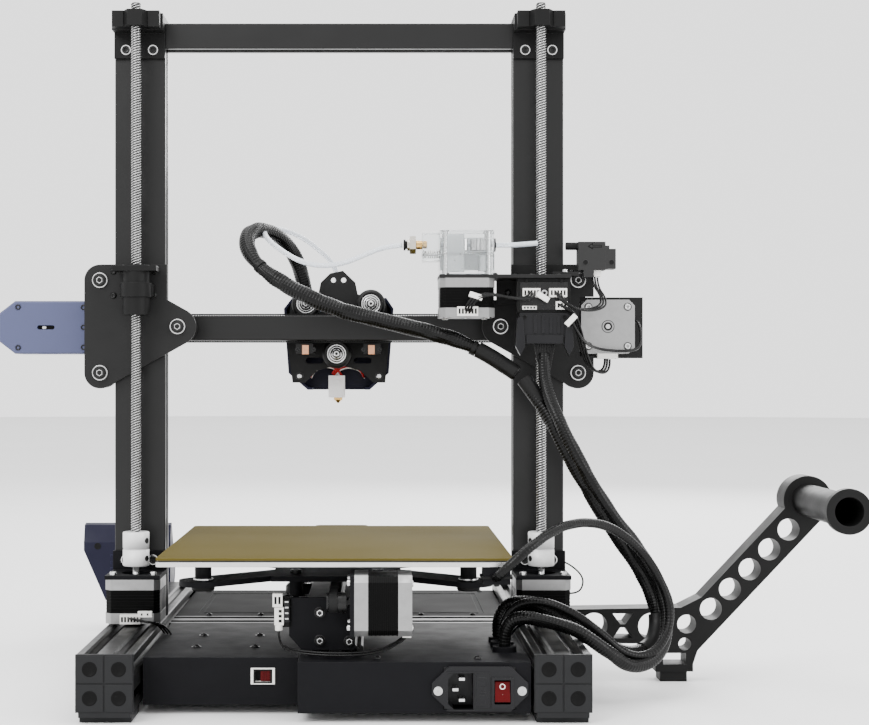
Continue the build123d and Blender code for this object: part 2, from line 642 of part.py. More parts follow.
with BuildPart() as x_beam:
    with BuildSketch(across(BEAM_X[0])):
        extrusion_section(2, 1, (sum(BEAM_Y) / 2, GANTRY_Z), "tbl")
    extrude(amount=BEAM_X[1] - BEAM_X[0])
pieces["x_beam"] = x_beam

# the belt tensioner's housing: an octagon with rounded edges, hollow round the idler
with BuildPart() as x_tensioner:
    x0, x1 = TENSIONER_X
    z0, z1 = TENSIONER_Z
    with BuildSketch(at_depth(TENSIONER_Y[0])):
        Polygon(
            (x0, z0 + 3), (x0 + 5, z0), (x1 - 13, z0), (x1, z0 + 10), (x1, z1 - 10), (x1 - 13, z1),
            (x0 + 5, z1), (x0, z1 - 3), align=None,
        )
    extrude(amount=TENSIONER_Y[0] - TENSIONER_Y[1])
    chamfer(x_tensioner.faces().sort_by(Axis.Y)[-1].edges(), 1.2)
    block((x0 - 1, x1 - 8), (-19, -1), (GANTRY_Z - 14, GANTRY_Z + 14), Mode.SUBTRACT)
    rod((X_IDLER_X, -24, GANTRY_Z), (0, 1, 0), 2.5, 30)
    with BuildSketch(at_depth(TENSIONER_Y[1])):
        with Locations((235.7, GANTRY_Z)):
            SlotOverall(14, 3.4)
    extrude(amount=4, mode=Mode.SUBTRACT)
pieces["x_tensioner"] = x_tensioner

with BuildPart() as gantry_motors:
    stepper((X_MOTOR_X, FRONT_PLATE_Y[1], GANTRY_Z), (0, -1, 0), (1, 0, 0), X_MOTOR_LENGTH)
    stepper((*EXTRUDER, BRACKET_Z[0]), (0, 0, 1), (1, 0, 0), EXTRUDER_MOTOR_LENGTH, False)
pieces["gantry_motors"] = gantry_motors

with BuildPart() as x_belt:
    belt_loop(at_depth(X_BELT_Y), ((X_MOTOR_X, GANTRY_Z), (X_IDLER_X, GANTRY_Z)), X_PULLEY_R)
pieces["x_belt"] = x_belt

pieces["x_pulley"] = pulley((X_MOTOR_X, X_BELT_Y, GANTRY_Z), (0, -1, 0), X_PULLEY_R, shaft=20)
pieces["x_idler"] = pulley((X_IDLER_X, X_BELT_Y, GANTRY_Z), (0, 1, 0), X_PULLEY_R, bore=2.5 + RUNNING_GAP)

# a plate over the extruder's motor that runs on to the lead screw, flanged to the back plate
with BuildPart() as extruder_bracket:
    block((-178, -77.6), (REAR_PLATE_Y[1], 79.4), BRACKET_Z)
    block((-186, -178), (44, 62), (317, 320))
    block((-180, -166), (44, 62), (317, 320))
    block((-142, -124), (REAR_PLATE_Y[1], 39), (296, BRACKET_Z[0]))
    rod((-RAIL_X, SCREW_Y, 310), (0, 0, 1), 8, 12, Mode.SUBTRACT)
pieces["extruder_bracket"] = extruder_bracket

with BuildPart() as extruder_body:
    cx, cy = EXTRUDER
    block((cx - 20.8, cx + 20.8), (cy - 20.8, cy + 20.8), (BRACKET_Z[1], EXTRUDER_TOP))
    fillet(extruder_body.edges().filter_by(Axis.Z), 2)
    block((cx + 20.8, cx + 34), (cy - 12, cy + 12), (328, 350))
    rod((cx + 34, cy, FEED_Z), (1, 0, 0), 3.5, 5)
    rod((cx + 38.5, cy, FEED_Z), (1, 0, 0), 6, 7)
    rod((cx + 45, cy, FEED_Z), (1, 0, 0), 4.2, 4)
    rod((cx - 25, cy, FEED_Z), (1, 0, 0), 4.5, 5)
    rod((cx - 56, cy, FEED_Z), (1, 0, 0), 2, 32)
    rod((cx - 60, cy, FEED_Z), (1, 0, 0), 1.0, 112, Mode.SUBTRACT)
pieces["extruder_body"] = extruder_body

with BuildPart() as filament_sensor:
    block((-207, -186), (46, 60), (320, 343.5))
    block((-215, -206), (46, 60), (322.5, 338))
    block((-198, -190), (46, 60), (316, 320.1))
    rod((-188, 53, FEED_Z - 0.5), (1, 0, 0), 3, 10)
    rod((-216, 53, FEED_Z - 0.5), (1, 0, 0), 1.1, 40, Mode.SUBTRACT)
pieces["filament_sensor"] = filament_sensor

# the gantry's connector board in its box, with the latched ribbon connector under it
with BuildPart() as adapter_board:
    block((-178, -137.5), (66, 74), (288, BRACKET_Z[0]))
    block((-177, -139), (64, 78), (262, 288))
    block((-166, -150), (67, 77), (257, 262))
pieces["adapter_board"] = adapter_board

for sx, side in ((1, "left"), (-1, "right")):
    spots = (
        ("upper", OUTER_WHEEL_X, OUTER_WHEEL_Z[1]),
        ("lower", OUTER_WHEEL_X, OUTER_WHEEL_Z[0]),
        ("inner", INNER_WHEEL_X, GANTRY_Z),
    )
    for place, x, z in spots:
        pieces[f"z_wheel_{side}_{place}"] = v_wheel((sx * x, Z_WHEEL_Y, z), (0, 1, 0))

# ---- print head ---------------------------------------------------------------------------------

top_wheel_z = BEAM_Z[1] + WHEEL_STANDOFF
low_wheel_z = BEAM_Z[0] - WHEEL_STANDOFF
head_wheel_spots = (
    ("head_wheel_left", TOP_WHEELS_X[1], top_wheel_z),
    ("head_wheel_right", TOP_WHEELS_X[0], top_wheel_z),
    ("head_wheel_lower", LOW_WHEEL_X, low_wheel_z),
)
with BuildPart() as head_plate:
    with BuildSketch(at_depth(HEAD_PLATE_Y[0])):
        Polygon(
            (-37, 234), (-40.5, 272), (-38, 300), (-14, 308), (-12, 317.7), (-1.6, 327.6),
            (9.1, 325.4), (17, 317.7), (19, 308), (42, 300), (45.4, 272), (40.5, 234), (30, 234),
            (20, 244), (2, 249), (-16, 244), (-27, 234), align=None,
        )
        with Locations((6.3, 319.8), (-2.2, 319.8)):
            Circle(2.1, mode=Mode.SUBTRACT)
        with Locations((22, 252.5), (-18, 252.5)):
            SlotOverall(15, 5, mode=Mode.SUBTRACT)
        with Locations(HOTEND_XY[:1] + (280,)):
            Circle(3, mode=Mode.SUBTRACT)
    extrude(amount=HEAD_PLATE_Y[0] - HEAD_PLATE_Y[1])
    for name, x, z in head_wheel_spots:
        rod((x, HEAD_PLATE_Y[1], z), (0, 1, 0), 4.5, HEAD_WHEEL_Y - WHEEL_WIDTH / 2 - 0.1 - HEAD_PLATE_Y[1])
        wheel_bolt((x, HEAD_PLATE_Y[1], z), (0, 1, 0), 20)
    for x in (-26, 29):
        block((x - 7, x + 7), (HEAD_PLATE_Y[1], -5), (258, 266.0))
pieces["head_plate"] = head_plate

# the cover in front of the plate: a shell over the hot end, with the fan's opening in its face
with BuildPart() as head_shroud:
    outline = [
        (-24, 228), (-40, 242), (-44, 296), (-38, 305), (41, 305), (48, 296), (44, 242), (28, 228),
    ]
    with BuildSketch(at_depth(-78)):
        Polygon(*outline, align=None)
    extrude(amount=-(HEAD_PLATE_Y[0] + 78))
    fillet(head_shroud.faces().sort_by(Axis.Y)[0].edges(), 3)
    with BuildSketch(at_depth(-75.5)):
        Polygon(*outline, align=None)
        offset(amount=-2, mode=Mode.REPLACE)
    extrude(amount=-(HEAD_PLATE_Y[0] + 76), mode=Mode.SUBTRACT)
    block((-20, 24), (-75, -44), (220, 250), Mode.SUBTRACT)
    rod((FAN[0], -80, FAN[1]), (0, 1, 0), FAN_R + 1, 8, Mode.SUBTRACT)
    rod((HOTEND_XY[0], HOTEND_XY[1], 300), (0, 0, 1), 5.5, 10, Mode.SUBTRACT)
    rod((FAN[0], -75.6, FAN[1]), (0, 1, 0), FAN_R + 3.5, 6.4)
    rod((FAN[0], -75.7, FAN[1]), (0, 1, 0), FAN_R + 1, 6.6, Mode.SUBTRACT)
    for turn in (30, 150, 270):
        with Locations(Plane(origin=(FAN[0], -70.5, FAN[1]), x_dir=(1, 0, 0), z_dir=(0, -1, 0))):
            with PolarLocations(11, 1, turn):
                Box(19, 3, 1.6)
    rod((FAN[0], -71.6, FAN[1]), (0, 1, 0), 5, 2)
    rod((FAN[0], -76.2, FAN[1]), (0, 1, 0), 1.5, 6)
pieces["head_shroud"] = head_shroud

with BuildPart() as fan_rotor:
    rod((FAN[0], -77, FAN[1]), (0, 1, 0), 7.5, 5)
    with Locations(Plane(origin=(FAN[0], -74.6, FAN[1]), x_dir=(1, 0, 0), z_dir=(0, -1, 0))):
        with PolarLocations(11.5, 7):
            Box(10, 1.6, 4.2, rotation=(35, 0, 0))
    rod((FAN[0], -76.4, FAN[1]), (0, 1, 0), 1.5 + RUNNING_GAP, 6, Mode.SUBTRACT)
pieces["fan_rotor"] = fan_rotor

# heat sink with its clamp to the plate, throat, heater block and nozzle
with BuildPart() as hotend:
    hx, hy = HOTEND_XY
    rod((hx, hy, 252), (0, 0, 1), 3.5, 43)
    for i in range(9):
        rod((hx, hy, 256 + 4 * i), (0, 0, 1), 8, 1.8)
    block((hx - 7, hx + 7), (hy, HEAD_PLATE_Y[0]), (288, 294))
    rod((hx, hy, 240), (0, 0, 1), 2.2, 13)
    block((hx - 5.8, hx + 7.8), (hy - 6, hy + 12), (221.5, 240))
    rod((hx, hy, 295), (0, 0, 1), 4.5, 20 - 0.2)
    with BuildSketch(Plane.XZ.offset(-hy)):
        with BuildLine():
            Polyline(
                (hx, 221.5), (hx + 4, 221.5), (hx + 4, 219.4), (hx + 0.6, NOZZLE_Z), (hx, NOZZLE_Z),
                close=True,
            )
        make_face()
    revolve(axis=Axis((hx, hy, 0), (0, 0, 1)))
pieces["hotend"] = hotend

for name, x, z in head_wheel_spots:
    pieces[name] = v_wheel((x, HEAD_WHEEL_Y, z), (0, 1, 0))

# ---- display and spool holder -------------------------------------------------------------------

with BuildPart() as display:
    with BuildSketch(across(163)):
        Polygon(
            (-206, 30), (-206, 84), (-211, 100), (-218, 101.5), (-245, 56), (-244, 48), (-228, 30),
            align=None,
        )
    extrude(amount=81)
    fillet(display.edges().filter_by(Axis.X), 2)
    block((146, 163), (-214, -204.2), (16, 44))
pieces["display"] = display

# a truss arm: a level part from the rail, and a chain of rings that climbs to the spool's hub
RING_CHAIN = ((-291.5, 57), (-306.4, 72.6), (-321.8, 88.1), (-337.2, 103.7), (-352.3, 119.2))
with BuildPart() as spool_arm:
    with BuildSketch(at_depth(ARM_Y[0])):
        Polygon(
            (-RAIL_OUT, 30), (-RAIL_OUT, 47), (-RAIL_OUT - 1.6, 47), (-RAIL_OUT - 1.6, 56.5),
            (-268, 58), (-284, 66), (-351, 137.5), (-377, 126), (-281, 24.5),
            (-277.5, 14), (-277.5, 8), (-248, 8), (-248, 24), (-262, 30),
            align=None,
        )
        with Locations(HUB):
            Circle(HUB_R)
        with Locations(*RING_CHAIN):
            Circle(8.6, mode=Mode.SUBTRACT)
        with Locations((-272.5, 45.2)):
            Circle(7.4, mode=Mode.SUBTRACT)
        with Locations((-271, 29.5)):
            Circle(5, mode=Mode.SUBTRACT)
        with Locations((-200, 43.5), (-245, 43.5)):
            Circle(10.5, mode=Mode.SUBTRACT)
        with Locations((-222.5, 0)):
            Polygon((-8, 34), (8, 34), (2, 42.5), (-2, 42.5), align=None, mode=Mode.SUBTRACT)
            Polygon((-8, 53.5), (-2, 45), (2, 45), (8, 53.5), align=None, mode=Mode.SUBTRACT)
        with Locations((-263, 18)):
            Rectangle(18, 9, mode=Mode.SUBTRACT)
    extrude(amount=ARM_Y[0] - ARM_Y[1])
    block((-273, -252), (24, 44), (0, 8))
pieces["spool_arm"] = spool_arm

with BuildPart() as spool_tube:
    rod((HUB[0], ARM_Y[1], HUB[1]), (0, 1, 0), TUBE_R, TUBE_END - ARM_Y[1])
    rod((HUB[0], TUBE_END - 7, HUB[1]), (0, 1, 0), FLANGE_R, 7)
    rod((HUB[0], ARM_Y[1] + 3, HUB[1]), (0, 1, 0), TUBE_BORE_R, TUBE_END, Mode.SUBTRACT)
pieces["spool_tube"] = spool_tube

# ---- cords --------------------------------------------------------------------------------------

cord("harness_head", HEAD_ROUTE, HEAD_SLEEVE)
cord("harness_main", MAIN_ROUTE, MAIN_SLEEVE)
cord("harness_ribbon", RIBBON_ROUTE, RIBBON_SLEEVE)
cord("harness_bed", BED_ROUTE, BED_SLEEVE)
cord("bowden_tube", BOWDEN_ROUTE, BOWDEN_D)

os.makedirs("parts", exist_ok=True)
for name, piece in pieces.items():
    piece.part.label = name
    export_step(piece.part, f"parts/{name}.step")
print(len(pieces), "pieces")
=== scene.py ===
"""Looks for the desktop filament printer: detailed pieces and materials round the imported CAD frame.

Pieces are built in millimetres in the row frame and turned into metres by Kit.piece. Cord routes are
in metres.
"""

from math import cos, pi, radians, sin

import bmesh
import bpy
from mathutils import Matrix, Vector
from mathutils.noise import noise


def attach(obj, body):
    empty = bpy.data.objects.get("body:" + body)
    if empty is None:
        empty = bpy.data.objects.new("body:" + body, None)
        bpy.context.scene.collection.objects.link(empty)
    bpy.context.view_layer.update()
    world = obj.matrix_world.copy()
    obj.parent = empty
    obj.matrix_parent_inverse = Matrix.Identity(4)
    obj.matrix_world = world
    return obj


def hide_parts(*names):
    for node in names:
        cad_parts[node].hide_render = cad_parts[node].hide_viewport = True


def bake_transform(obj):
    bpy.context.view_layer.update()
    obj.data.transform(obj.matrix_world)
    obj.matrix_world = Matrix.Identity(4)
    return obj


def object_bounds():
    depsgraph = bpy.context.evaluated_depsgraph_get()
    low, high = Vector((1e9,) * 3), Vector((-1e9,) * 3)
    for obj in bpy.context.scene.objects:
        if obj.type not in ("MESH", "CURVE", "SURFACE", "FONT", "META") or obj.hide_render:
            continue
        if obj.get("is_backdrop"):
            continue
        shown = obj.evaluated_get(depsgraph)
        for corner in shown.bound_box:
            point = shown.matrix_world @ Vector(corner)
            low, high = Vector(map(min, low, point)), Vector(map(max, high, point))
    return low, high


MM = 0.001
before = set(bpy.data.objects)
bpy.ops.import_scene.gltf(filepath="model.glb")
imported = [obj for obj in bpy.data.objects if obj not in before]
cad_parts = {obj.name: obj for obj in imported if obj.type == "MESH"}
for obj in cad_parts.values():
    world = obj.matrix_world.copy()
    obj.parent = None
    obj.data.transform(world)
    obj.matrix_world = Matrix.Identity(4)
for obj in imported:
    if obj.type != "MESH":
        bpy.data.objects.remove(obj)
cad_low, cad_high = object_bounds()

# ---- materials ----


def grey(value):
    return (value, value, value)


def material(name, colour, second, roughness=0.5, metallic=0.0, patch=60.0, grain=900.0,
             bump=0.2, depth=0.0001, vary=0.1, wear=None, coat=0.0, transmission=0.0,
             edge=0.0005, ior=1.5, gloss=0.5):
    """A finish with patches of a second colour, a fine grain, uneven roughness and rubbed edges."""
    mat = bpy.data.materials.new(name)
    mat.use_nodes = True
    nodes, links = mat.node_tree.nodes, mat.node_tree.links
    shader = nodes["Principled BSDF"]

    def add(kind, settings=(), **sockets):
        """A node whose sockets take values or other nodes' outputs."""
        made = nodes.new(kind)
        for key, value in settings:
            setattr(made, key, value)
        for key, value in sockets.items():
            socket = made.inputs[key.replace("_", " ")]
            if isinstance(value, bpy.types.NodeSocket):
                links.new(value, socket)
            else:
                socket.default_value = value
        return made

    place = add("ShaderNodeTexCoord").outputs["Object"]
    broad = add("ShaderNodeTexNoise", Scale=patch, Detail=5, Vector=place).outputs["Fac"]
    fine = add("ShaderNodeTexNoise", Scale=grain, Detail=3, Vector=place).outputs["Fac"]
    blend_colours = [("data_type", "RGBA")]
    base = add("ShaderNodeMix", blend_colours, A=(*colour, 1), B=(*second, 1),
               Factor=broad).outputs["Result"]
    if wear:
        soft = add("ShaderNodeBevel", [("samples", 4)], Radius=edge).outputs["Normal"]
        flat = add("ShaderNodeNewGeometry").outputs["Normal"]
        dot = add("ShaderNodeVectorMath", [("operation", "DOT_PRODUCT")])
        links.new(soft, dot.inputs[0])
        links.new(flat, dot.inputs[1])
        rubbed = add("ShaderNodeMapRange", From_Min=0.995, From_Max=0.80, To_Max=0.75,
                     Value=dot.outputs["Value"])
        broken = add("ShaderNodeMath", [("operation", "MULTIPLY")])
        links.new(rubbed.outputs["Result"], broken.inputs[0])
        links.new(fine, broken.inputs[1])
        base = add("ShaderNodeMix", blend_colours, A=base, B=(*wear, 1),
                   Factor=broken.outputs["Value"]).outputs["Result"]
    links.new(base, shader.inputs["Base Color"])
    rough = add("ShaderNodeMapRange", From_Min=0.3, From_Max=0.7, To_Min=max(0.03, roughness - vary),
                To_Max=min(1.0, roughness + vary), Value=broad)
    links.new(rough.outputs["Result"], shader.inputs["Roughness"])
    relief = add("ShaderNodeBump", Strength=bump, Distance=depth, Height=fine)
    if wear:
        links.new(soft, relief.inputs["Normal"])
    links.new(relief.outputs["Normal"], shader.inputs["Normal"])
    shader.inputs["Metallic"].default_value = metallic
    shader.inputs["Coat Weight"].default_value = coat
    shader.inputs["Transmission Weight"].default_value = transmission
    shader.inputs["IOR"].default_value = ior
    shader.inputs["Specular IOR Level"].default_value = gloss
    mat.diffuse_color = (*colour, 1)
    return mat


def stripes(mat, axis, period, strength, depth):
    """Add raised lines across an axis, period apart in millimetres, to a finish's relief."""
    nodes, links = mat.node_tree.nodes, mat.node_tree.links
    relief = next(n for n in nodes if n.type == "BUMP")
    place = next(n for n in nodes if n.type == "TEX_COORD")
    wave = nodes.new("ShaderNodeTexWave")
    wave.bands_direction = axis
    wave.inputs["Scale"].default_value = 2 * pi / (20 * period * MM)
    links.new(place.outputs["Object"], wave.inputs["Vector"])
    lines = nodes.new("ShaderNodeBump")
    lines.inputs["Strength"].default_value = strength
    lines.inputs["Distance"].default_value = depth
    links.new(wave.outputs["Fac"], lines.inputs["Height"])
    links.new(relief.outputs["Normal"], lines.inputs["Normal"])
    links.new(lines.outputs["Normal"], nodes["Principled BSDF"].inputs["Normal"])
    return mat


COATED = {"grain": 1900, "bump": 0.45, "depth": 0.00012}
MOULDED = {"grain": 2600, "bump": 0.3, "depth": 0.00006}
TINTED = {"grain": 2400, "bump": 0.3, "depth": 0.00007, "edge": 0.0008}

ANODISED = material("black_anodised", grey(0.0062), grey(0.0046), 0.34, gloss=0.24, vary=0.05,
                    grain=1400, bump=0.12, depth=0.00004, wear=grey(0.07), edge=0.0006)
POWDER = material("charcoal_powder_coat", (0.0042, 0.0042, 0.0052), (0.0035, 0.0035, 0.0043), 0.58,
                  gloss=0.08, vary=0.04, wear=grey(0.035), **COATED)
PLATE = material("grey_powder_coat", grey(0.0105), grey(0.0088), 0.55, gloss=0.14, vary=0.04,
                 wear=grey(0.06), **COATED)
PLASTIC = material("moulded_black", grey(0.0052), grey(0.0042), 0.48, gloss=0.12, vary=0.05,
                   wear=grey(0.03), edge=0.0006, **MOULDED)
CAP = material("moulded_cap", (0.0105, 0.0108, 0.0115), (0.0095, 0.0098, 0.0105), 0.5, gloss=0.14,
               wear=grey(0.035), edge=0.0006, **MOULDED)
SENSOR = material("moulded_charcoal", grey(0.016), grey(0.013), 0.5, gloss=0.2,
                  wear=grey(0.05), **MOULDED)
DECK = material("deck_coat", grey(0.009), grey(0.0075), 0.6, gloss=0.02, vary=0.04, patch=25,
                grain=2200, bump=0.4, wear=grey(0.2), edge=0.0006)
NAVY = material("moulded_navy", (0.0078, 0.0078, 0.022), (0.0066, 0.0066, 0.0185), 0.45, gloss=0.14,
                wear=(0.022, 0.026, 0.07), **TINTED)
SLATE = material("moulded_slate", (0.062, 0.07, 0.14), (0.056, 0.063, 0.125), 0.45, gloss=0.25,
                 wear=(0.12, 0.13, 0.23), **TINTED)
CAST = material("cast_end_bell", grey(0.31), grey(0.24), 0.4, 0.85,
                patch=160, grain=1500, bump=0.45, depth=0.00012, vary=0.12)
STACK = stripes(material("laminated_stack", grey(0.0012), grey(0.002), 0.36, gloss=0.05,
                         grain=1200, bump=0.15), "Z", 0.5, 0.35, 0.0001)
STEEL = material("ground_steel", grey(0.66), grey(0.52), 0.24, 1.0,
                 patch=240, grain=2600, bump=0.15, depth=0.00004)
# painted shade: a dark finish for the thread roots, standing in for the shade down in the grooves
ROOT_SHADE = material("painted_thread_root_shade", grey(0.07), grey(0.03), 0.4, 0.6, patch=240, grain=2600, depth=0.00004)
DULL = material("dull_aluminium", grey(0.56), grey(0.46), 0.42, 0.9,
                patch=200, grain=2000, bump=0.3, depth=0.00006)
SATIN = material("satin_coupler", grey(0.7), grey(0.63), 0.5, 0.2,
                 patch=200, grain=2400, bump=0.2, depth=0.00005)
BLACK_STEEL = material("black_oxide", grey(0.01), grey(0.018), 0.28, 0.5, gloss=0.3,
                       patch=300, grain=2600, bump=0.2, depth=0.00004)
POLYMER = material("wheel_polymer", grey(0.0045), grey(0.007), 0.36, gloss=0.2,
                   patch=200, grain=1800, bump=0.2, depth=0.00005)
RUBBER = material("belt_rubber", grey(0.008), grey(0.012), 0.72, gloss=0.15,
                  grain=2200, bump=0.4, depth=0.00006)
FOOT = material("foot_rubber", grey(0.009), grey(0.014), 0.8, gloss=0.2, grain=1200, bump=0.5)
BRASS = material("nozzle_brass", (0.72, 0.46, 0.16), (0.55, 0.33, 0.1), 0.27, 1.0,
                 patch=300, grain=2200, bump=0.15, depth=0.00004)
COPPER = material("copper_block", (0.6, 0.33, 0.2), (0.48, 0.22, 0.12), 0.35, 1.0, patch=300)
NICKEL = material("nickel_fitting", (0.66, 0.62, 0.55), (0.5, 0.47, 0.42), 0.2, 1.0, patch=300, bump=0.1)
SOCK = material("silicone_sock", (0.8, 0.79, 0.79), (0.72, 0.7, 0.7), 0.6, patch=250, bump=0.3)
WHITE = material("white_connector", (0.8, 0.79, 0.76), (0.7, 0.69, 0.65), 0.4, patch=300, bump=0.15)
# painted shade: a near-black finish for flat discs and boxes set where holes, slots and recesses are,
# standing in for the shade inside them
HOLE_SHADE = material("painted_hole_shade", grey(0.003), grey(0.008), 0.6, gloss=0.1, patch=300)
RED = material("red_rocker", (0.062, 0.0006, 0.0014), (0.052, 0.0005, 0.0012), 0.3, gloss=0.1,
               grain=1600, bump=0.06)
RED_WIRE = material("red_wire", (0.38, 0.008, 0.008), (0.28, 0.005, 0.005), 0.42, gloss=0.25, patch=300)
BLACK_WIRE = material("black_wire", grey(0.003), grey(0.005), 0.3, gloss=0.18,
                      patch=300, grain=1500, bump=0.15)
GLOSS = material("inlet_black", (0.005, 0.005, 0.006), (0.0062, 0.0062, 0.0072), 0.34, gloss=0.18,
                 grain=1600, bump=0.12, depth=0.00004, wear=grey(0.045), edge=0.0004)
GLASS = material("screen_glass", (0.008, 0.009, 0.012), (0.012, 0.013, 0.017), 0.12,
                 bump=0.02, vary=0.04, coat=0.6)
BOARD = material("circuit_board", (0.012, 0.07, 0.035), (0.008, 0.05, 0.026), 0.4, patch=300)
CLEAR = material("clear_body", (0.93, 0.95, 0.95), (0.86, 0.89, 0.9), 0.08, patch=90, grain=500,
                 bump=0.06, vary=0.04, transmission=0.94, ior=1.3)
FROST = material("inner_moulding", (0.74, 0.76, 0.77), (0.62, 0.65, 0.66), 0.35, patch=200, grain=1000,
                 transmission=0.35, ior=1.3)
PTFE = material("ptfe_tube", (0.83, 0.86, 0.9), (0.73, 0.77, 0.83), 0.28, patch=150, grain=1200,
                bump=0.08, transmission=0.35, ior=1.35)
BED_METAL = stripes(material("milled_bed", grey(0.66), grey(0.56), 0.34, 1.0, patch=80,
                             grain=1800, depth=0.00005), "X", 0.9, 0.12, 0.00003)
MAGNET = material("magnetic_skin", grey(0.02), grey(0.03), 0.7, grain=2600, bump=0.5)
GOLD = material("gold_texture", (0.072, 0.056, 0.0125), (0.065, 0.05, 0.011), 0.7, gloss=0.025, patch=12,
                vary=0.03, grain=1500, bump=0.9, depth=0.0002, wear=(0.34, 0.27, 0.1), edge=0.0004)
SLEEVE = material("braided_sleeve", grey(0.0015), grey(0.0035), 0.28, patch=700, gloss=0.16,
                  grain=5200, bump=0.4, depth=0.00006)
TIE = material("nylon_tie", grey(0.004), grey(0.006), 0.42, gloss=0.14, patch=200, bump=0.1)
# painted shade: a near-black finish for dimples and the edge of moulded marks, standing in for the shade
# in them
DIMPLE_SHADE = material("painted_dimple_shade", grey(0.003), grey(0.0045), 0.5, gloss=0.06, patch=300, grain=2600,
                  bump=0.3)


def paint(names, mat):
    """Give CAD nodes a finish."""
    for name in names.split():
        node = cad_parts[name]
        if not node.material_slots:
            node.data.materials.append(mat)
        for place in node.material_slots:
            place.material = mat


paint("base_frame portal_frame y_rail x_beam", ANODISED)
paint("rear_housings z_motor_brackets y_end_mounts bed_carriage", POWDER)
paint("z_plates extruder_bracket head_plate", PLATE)
paint("top_brackets z_nuts spool_arm spool_tube adapter_board fan_rotor", PLASTIC)
paint("rail_end_caps", CAP)
paint("filament_sensor", SENSOR)
paint("front_deck", DECK)
paint("display head_shroud", NAVY)
paint("x_tensioner", SLATE)
paint("power_inlet", GLOSS)
paint("power_rocker voltage_slider", RED)
paint("voltage_selector", WHITE)
paint("electronics", BOARD)
paint("build_sheet", GOLD)
paint("y_pulley", BLACK_STEEL)
paint("y_idler x_pulley x_idler", DULL)

# ---- mesh kit ----

TO_SPACE = {
    "x": lambda a, b, h: (h, a, b),
    "y": lambda a, b, h: (a, h, b),
    "z": lambda a, b, h: (a, b, h),
}
AXES = {"x": (1, 0, 0), "y": (0, 1, 0), "z": (0, 0, 1)}


class Kit:
    """Collects closed shapes, in millimetres, each with its own material, into one piece."""

    def __init__(self):
        self.bm = bmesh.new()
        self.materials = []

    def add_faces(self, rings, mat, smooth):
        if mat not in self.materials:
            self.materials.append(mat)
        for ring in rings:
            if len(set(ring)) > 2:
                face = self.bm.faces.new(list(dict.fromkeys(ring)))
                face.material_index = self.materials.index(mat)
                face.smooth = smooth

    def prism(self, outline, axis, low, high, mat):
        """A straight solid: the outline's two numbers are the other two axes, in x, y, z order."""
        place = TO_SPACE[axis]
        ends = [[self.bm.verts.new(place(a, b, h)) for a, b in outline] for h in (low, high)]
        self.add_faces([*bridge(ends), *ends], mat, False)

    def box(self, x, y, z, mat):
        self.prism([(x[0], y[0]), (x[1], y[0]), (x[1], y[1]), (x[0], y[1])], "z", z[0], z[1], mat)

    def lathe_open(self, profile, origin, axis, mat, steps=32):
        """A turned surface that other surfaces close."""
        self.lathe(profile, origin, axis, mat, steps, False)

    def lathe(self, profile, origin, axis, mat, steps=32, capped=True):
        """A turned solid of (radius, distance along) pairs; a third entry makes that ring a hexagon."""
        along = Vector(AXES[axis] if isinstance(axis, str) else axis).normalized()
        side = Vector((0, 0, 1)) if abs(along.z) < 0.9 else Vector((1, 0, 0))
        side = (side - along * side.dot(along)).normalized()
        other = along.cross(side)
        rings = []
        for radius, distance, *hexagon in profile:
            centre = Vector(origin) + along * distance
            if radius < 1e-6:
                rings.append([self.bm.verts.new(centre)] * steps)
                continue
            ring = []
            for i in range(steps):
                angle = 2 * pi * i / steps
                reach = radius
                if hexagon:
                    reach = radius / cos((angle + 1e-9) % (pi / 3) - pi / 6)
                ring.append(self.bm.verts.new(centre + (side * cos(angle) + other * sin(angle)) * reach))
            rings.append(ring)
        self.add_faces(bridge(rings), mat, True)
        if capped and profile[0] != profile[-1]:
            self.add_faces([rings[0], rings[-1]], mat, False)

    def screw(self, origin, axis, radius=2.7, height=2.8, mat=BLACK_STEEL):
        """A socket head screw standing on origin."""
        key = radius * 0.5
        self.lathe(
            [(radius, 0), (radius, height - 0.4), (radius - 0.35, height), (key * 1.3, height),
             (key, height - 0.15, 6), (key, height - 1.7, 6), (0, height - 1.7)],
            origin, axis, mat, 24,
        )

    def button(self, origin, axis, radius=2.8, mat=BLACK_STEEL):
        """A button head screw standing on origin."""
        key = radius * 0.42
        self.lathe(
            [(radius, 0), (radius * 0.97, 0.5), (radius * 0.8, 1.15), (key * 1.35, 1.55),
             (key, 1.45, 6), (key, 0.5, 6), (0, 0.5)],
            origin, axis, mat, 24,
        )

    def ring(self, origin, axis, outer, inner, thickness, mat, steps=32):
        """A washer or a bearing race standing on origin."""
        self.lathe(
            [(inner, 0), (outer, 0), (outer, thickness * 0.8), (outer - 0.2, thickness),
             (inner + 0.2, thickness), (inner, thickness * 0.8), (inner, 0)],
            origin, axis, mat, steps,
        )

    def tube(self, points, radius, mat, steps=10):
        """A round lead along close points."""
        rings = [
            [self.bm.verts.new(p + (u * cos(2 * pi * i / steps) + v * sin(2 * pi * i / steps)) * radius)
             for i in range(steps)]
            for p, u, v in travel(points)
        ]
        self.add_faces(bridge(rings), mat, True)
        self.add_faces([rings[0], rings[-1]], mat, False)

    def piece(self, name, body, replaces=(), bevel=0.3, segments=2):
        bmesh.ops.remove_doubles(self.bm, verts=self.bm.verts, dist=1e-5)
        bmesh.ops.recalc_face_normals(self.bm, faces=self.bm.faces)
        self.bm.transform(SCALE)
        mesh = bpy.data.meshes.new(name)
        self.bm.to_mesh(mesh)
        self.bm.free()
        for mat in self.materials:
            mesh.materials.append(mat)
        obj = bpy.data.objects.new(name, mesh)
        show(obj)
        if bevel:
            rounding = obj.modifiers.new("edges", "BEVEL")
            rounding.width = bevel * MM
            rounding.segments = segments
            rounding.limit_method = "ANGLE"
            rounding.angle_limit = radians(40)
            rounding.harden_normals = True
        if replaces:
            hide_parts(*replaces)
        if body:
            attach(obj, body)
        return obj


SCALE = Matrix.Diagonal((MM, MM, MM, 1))


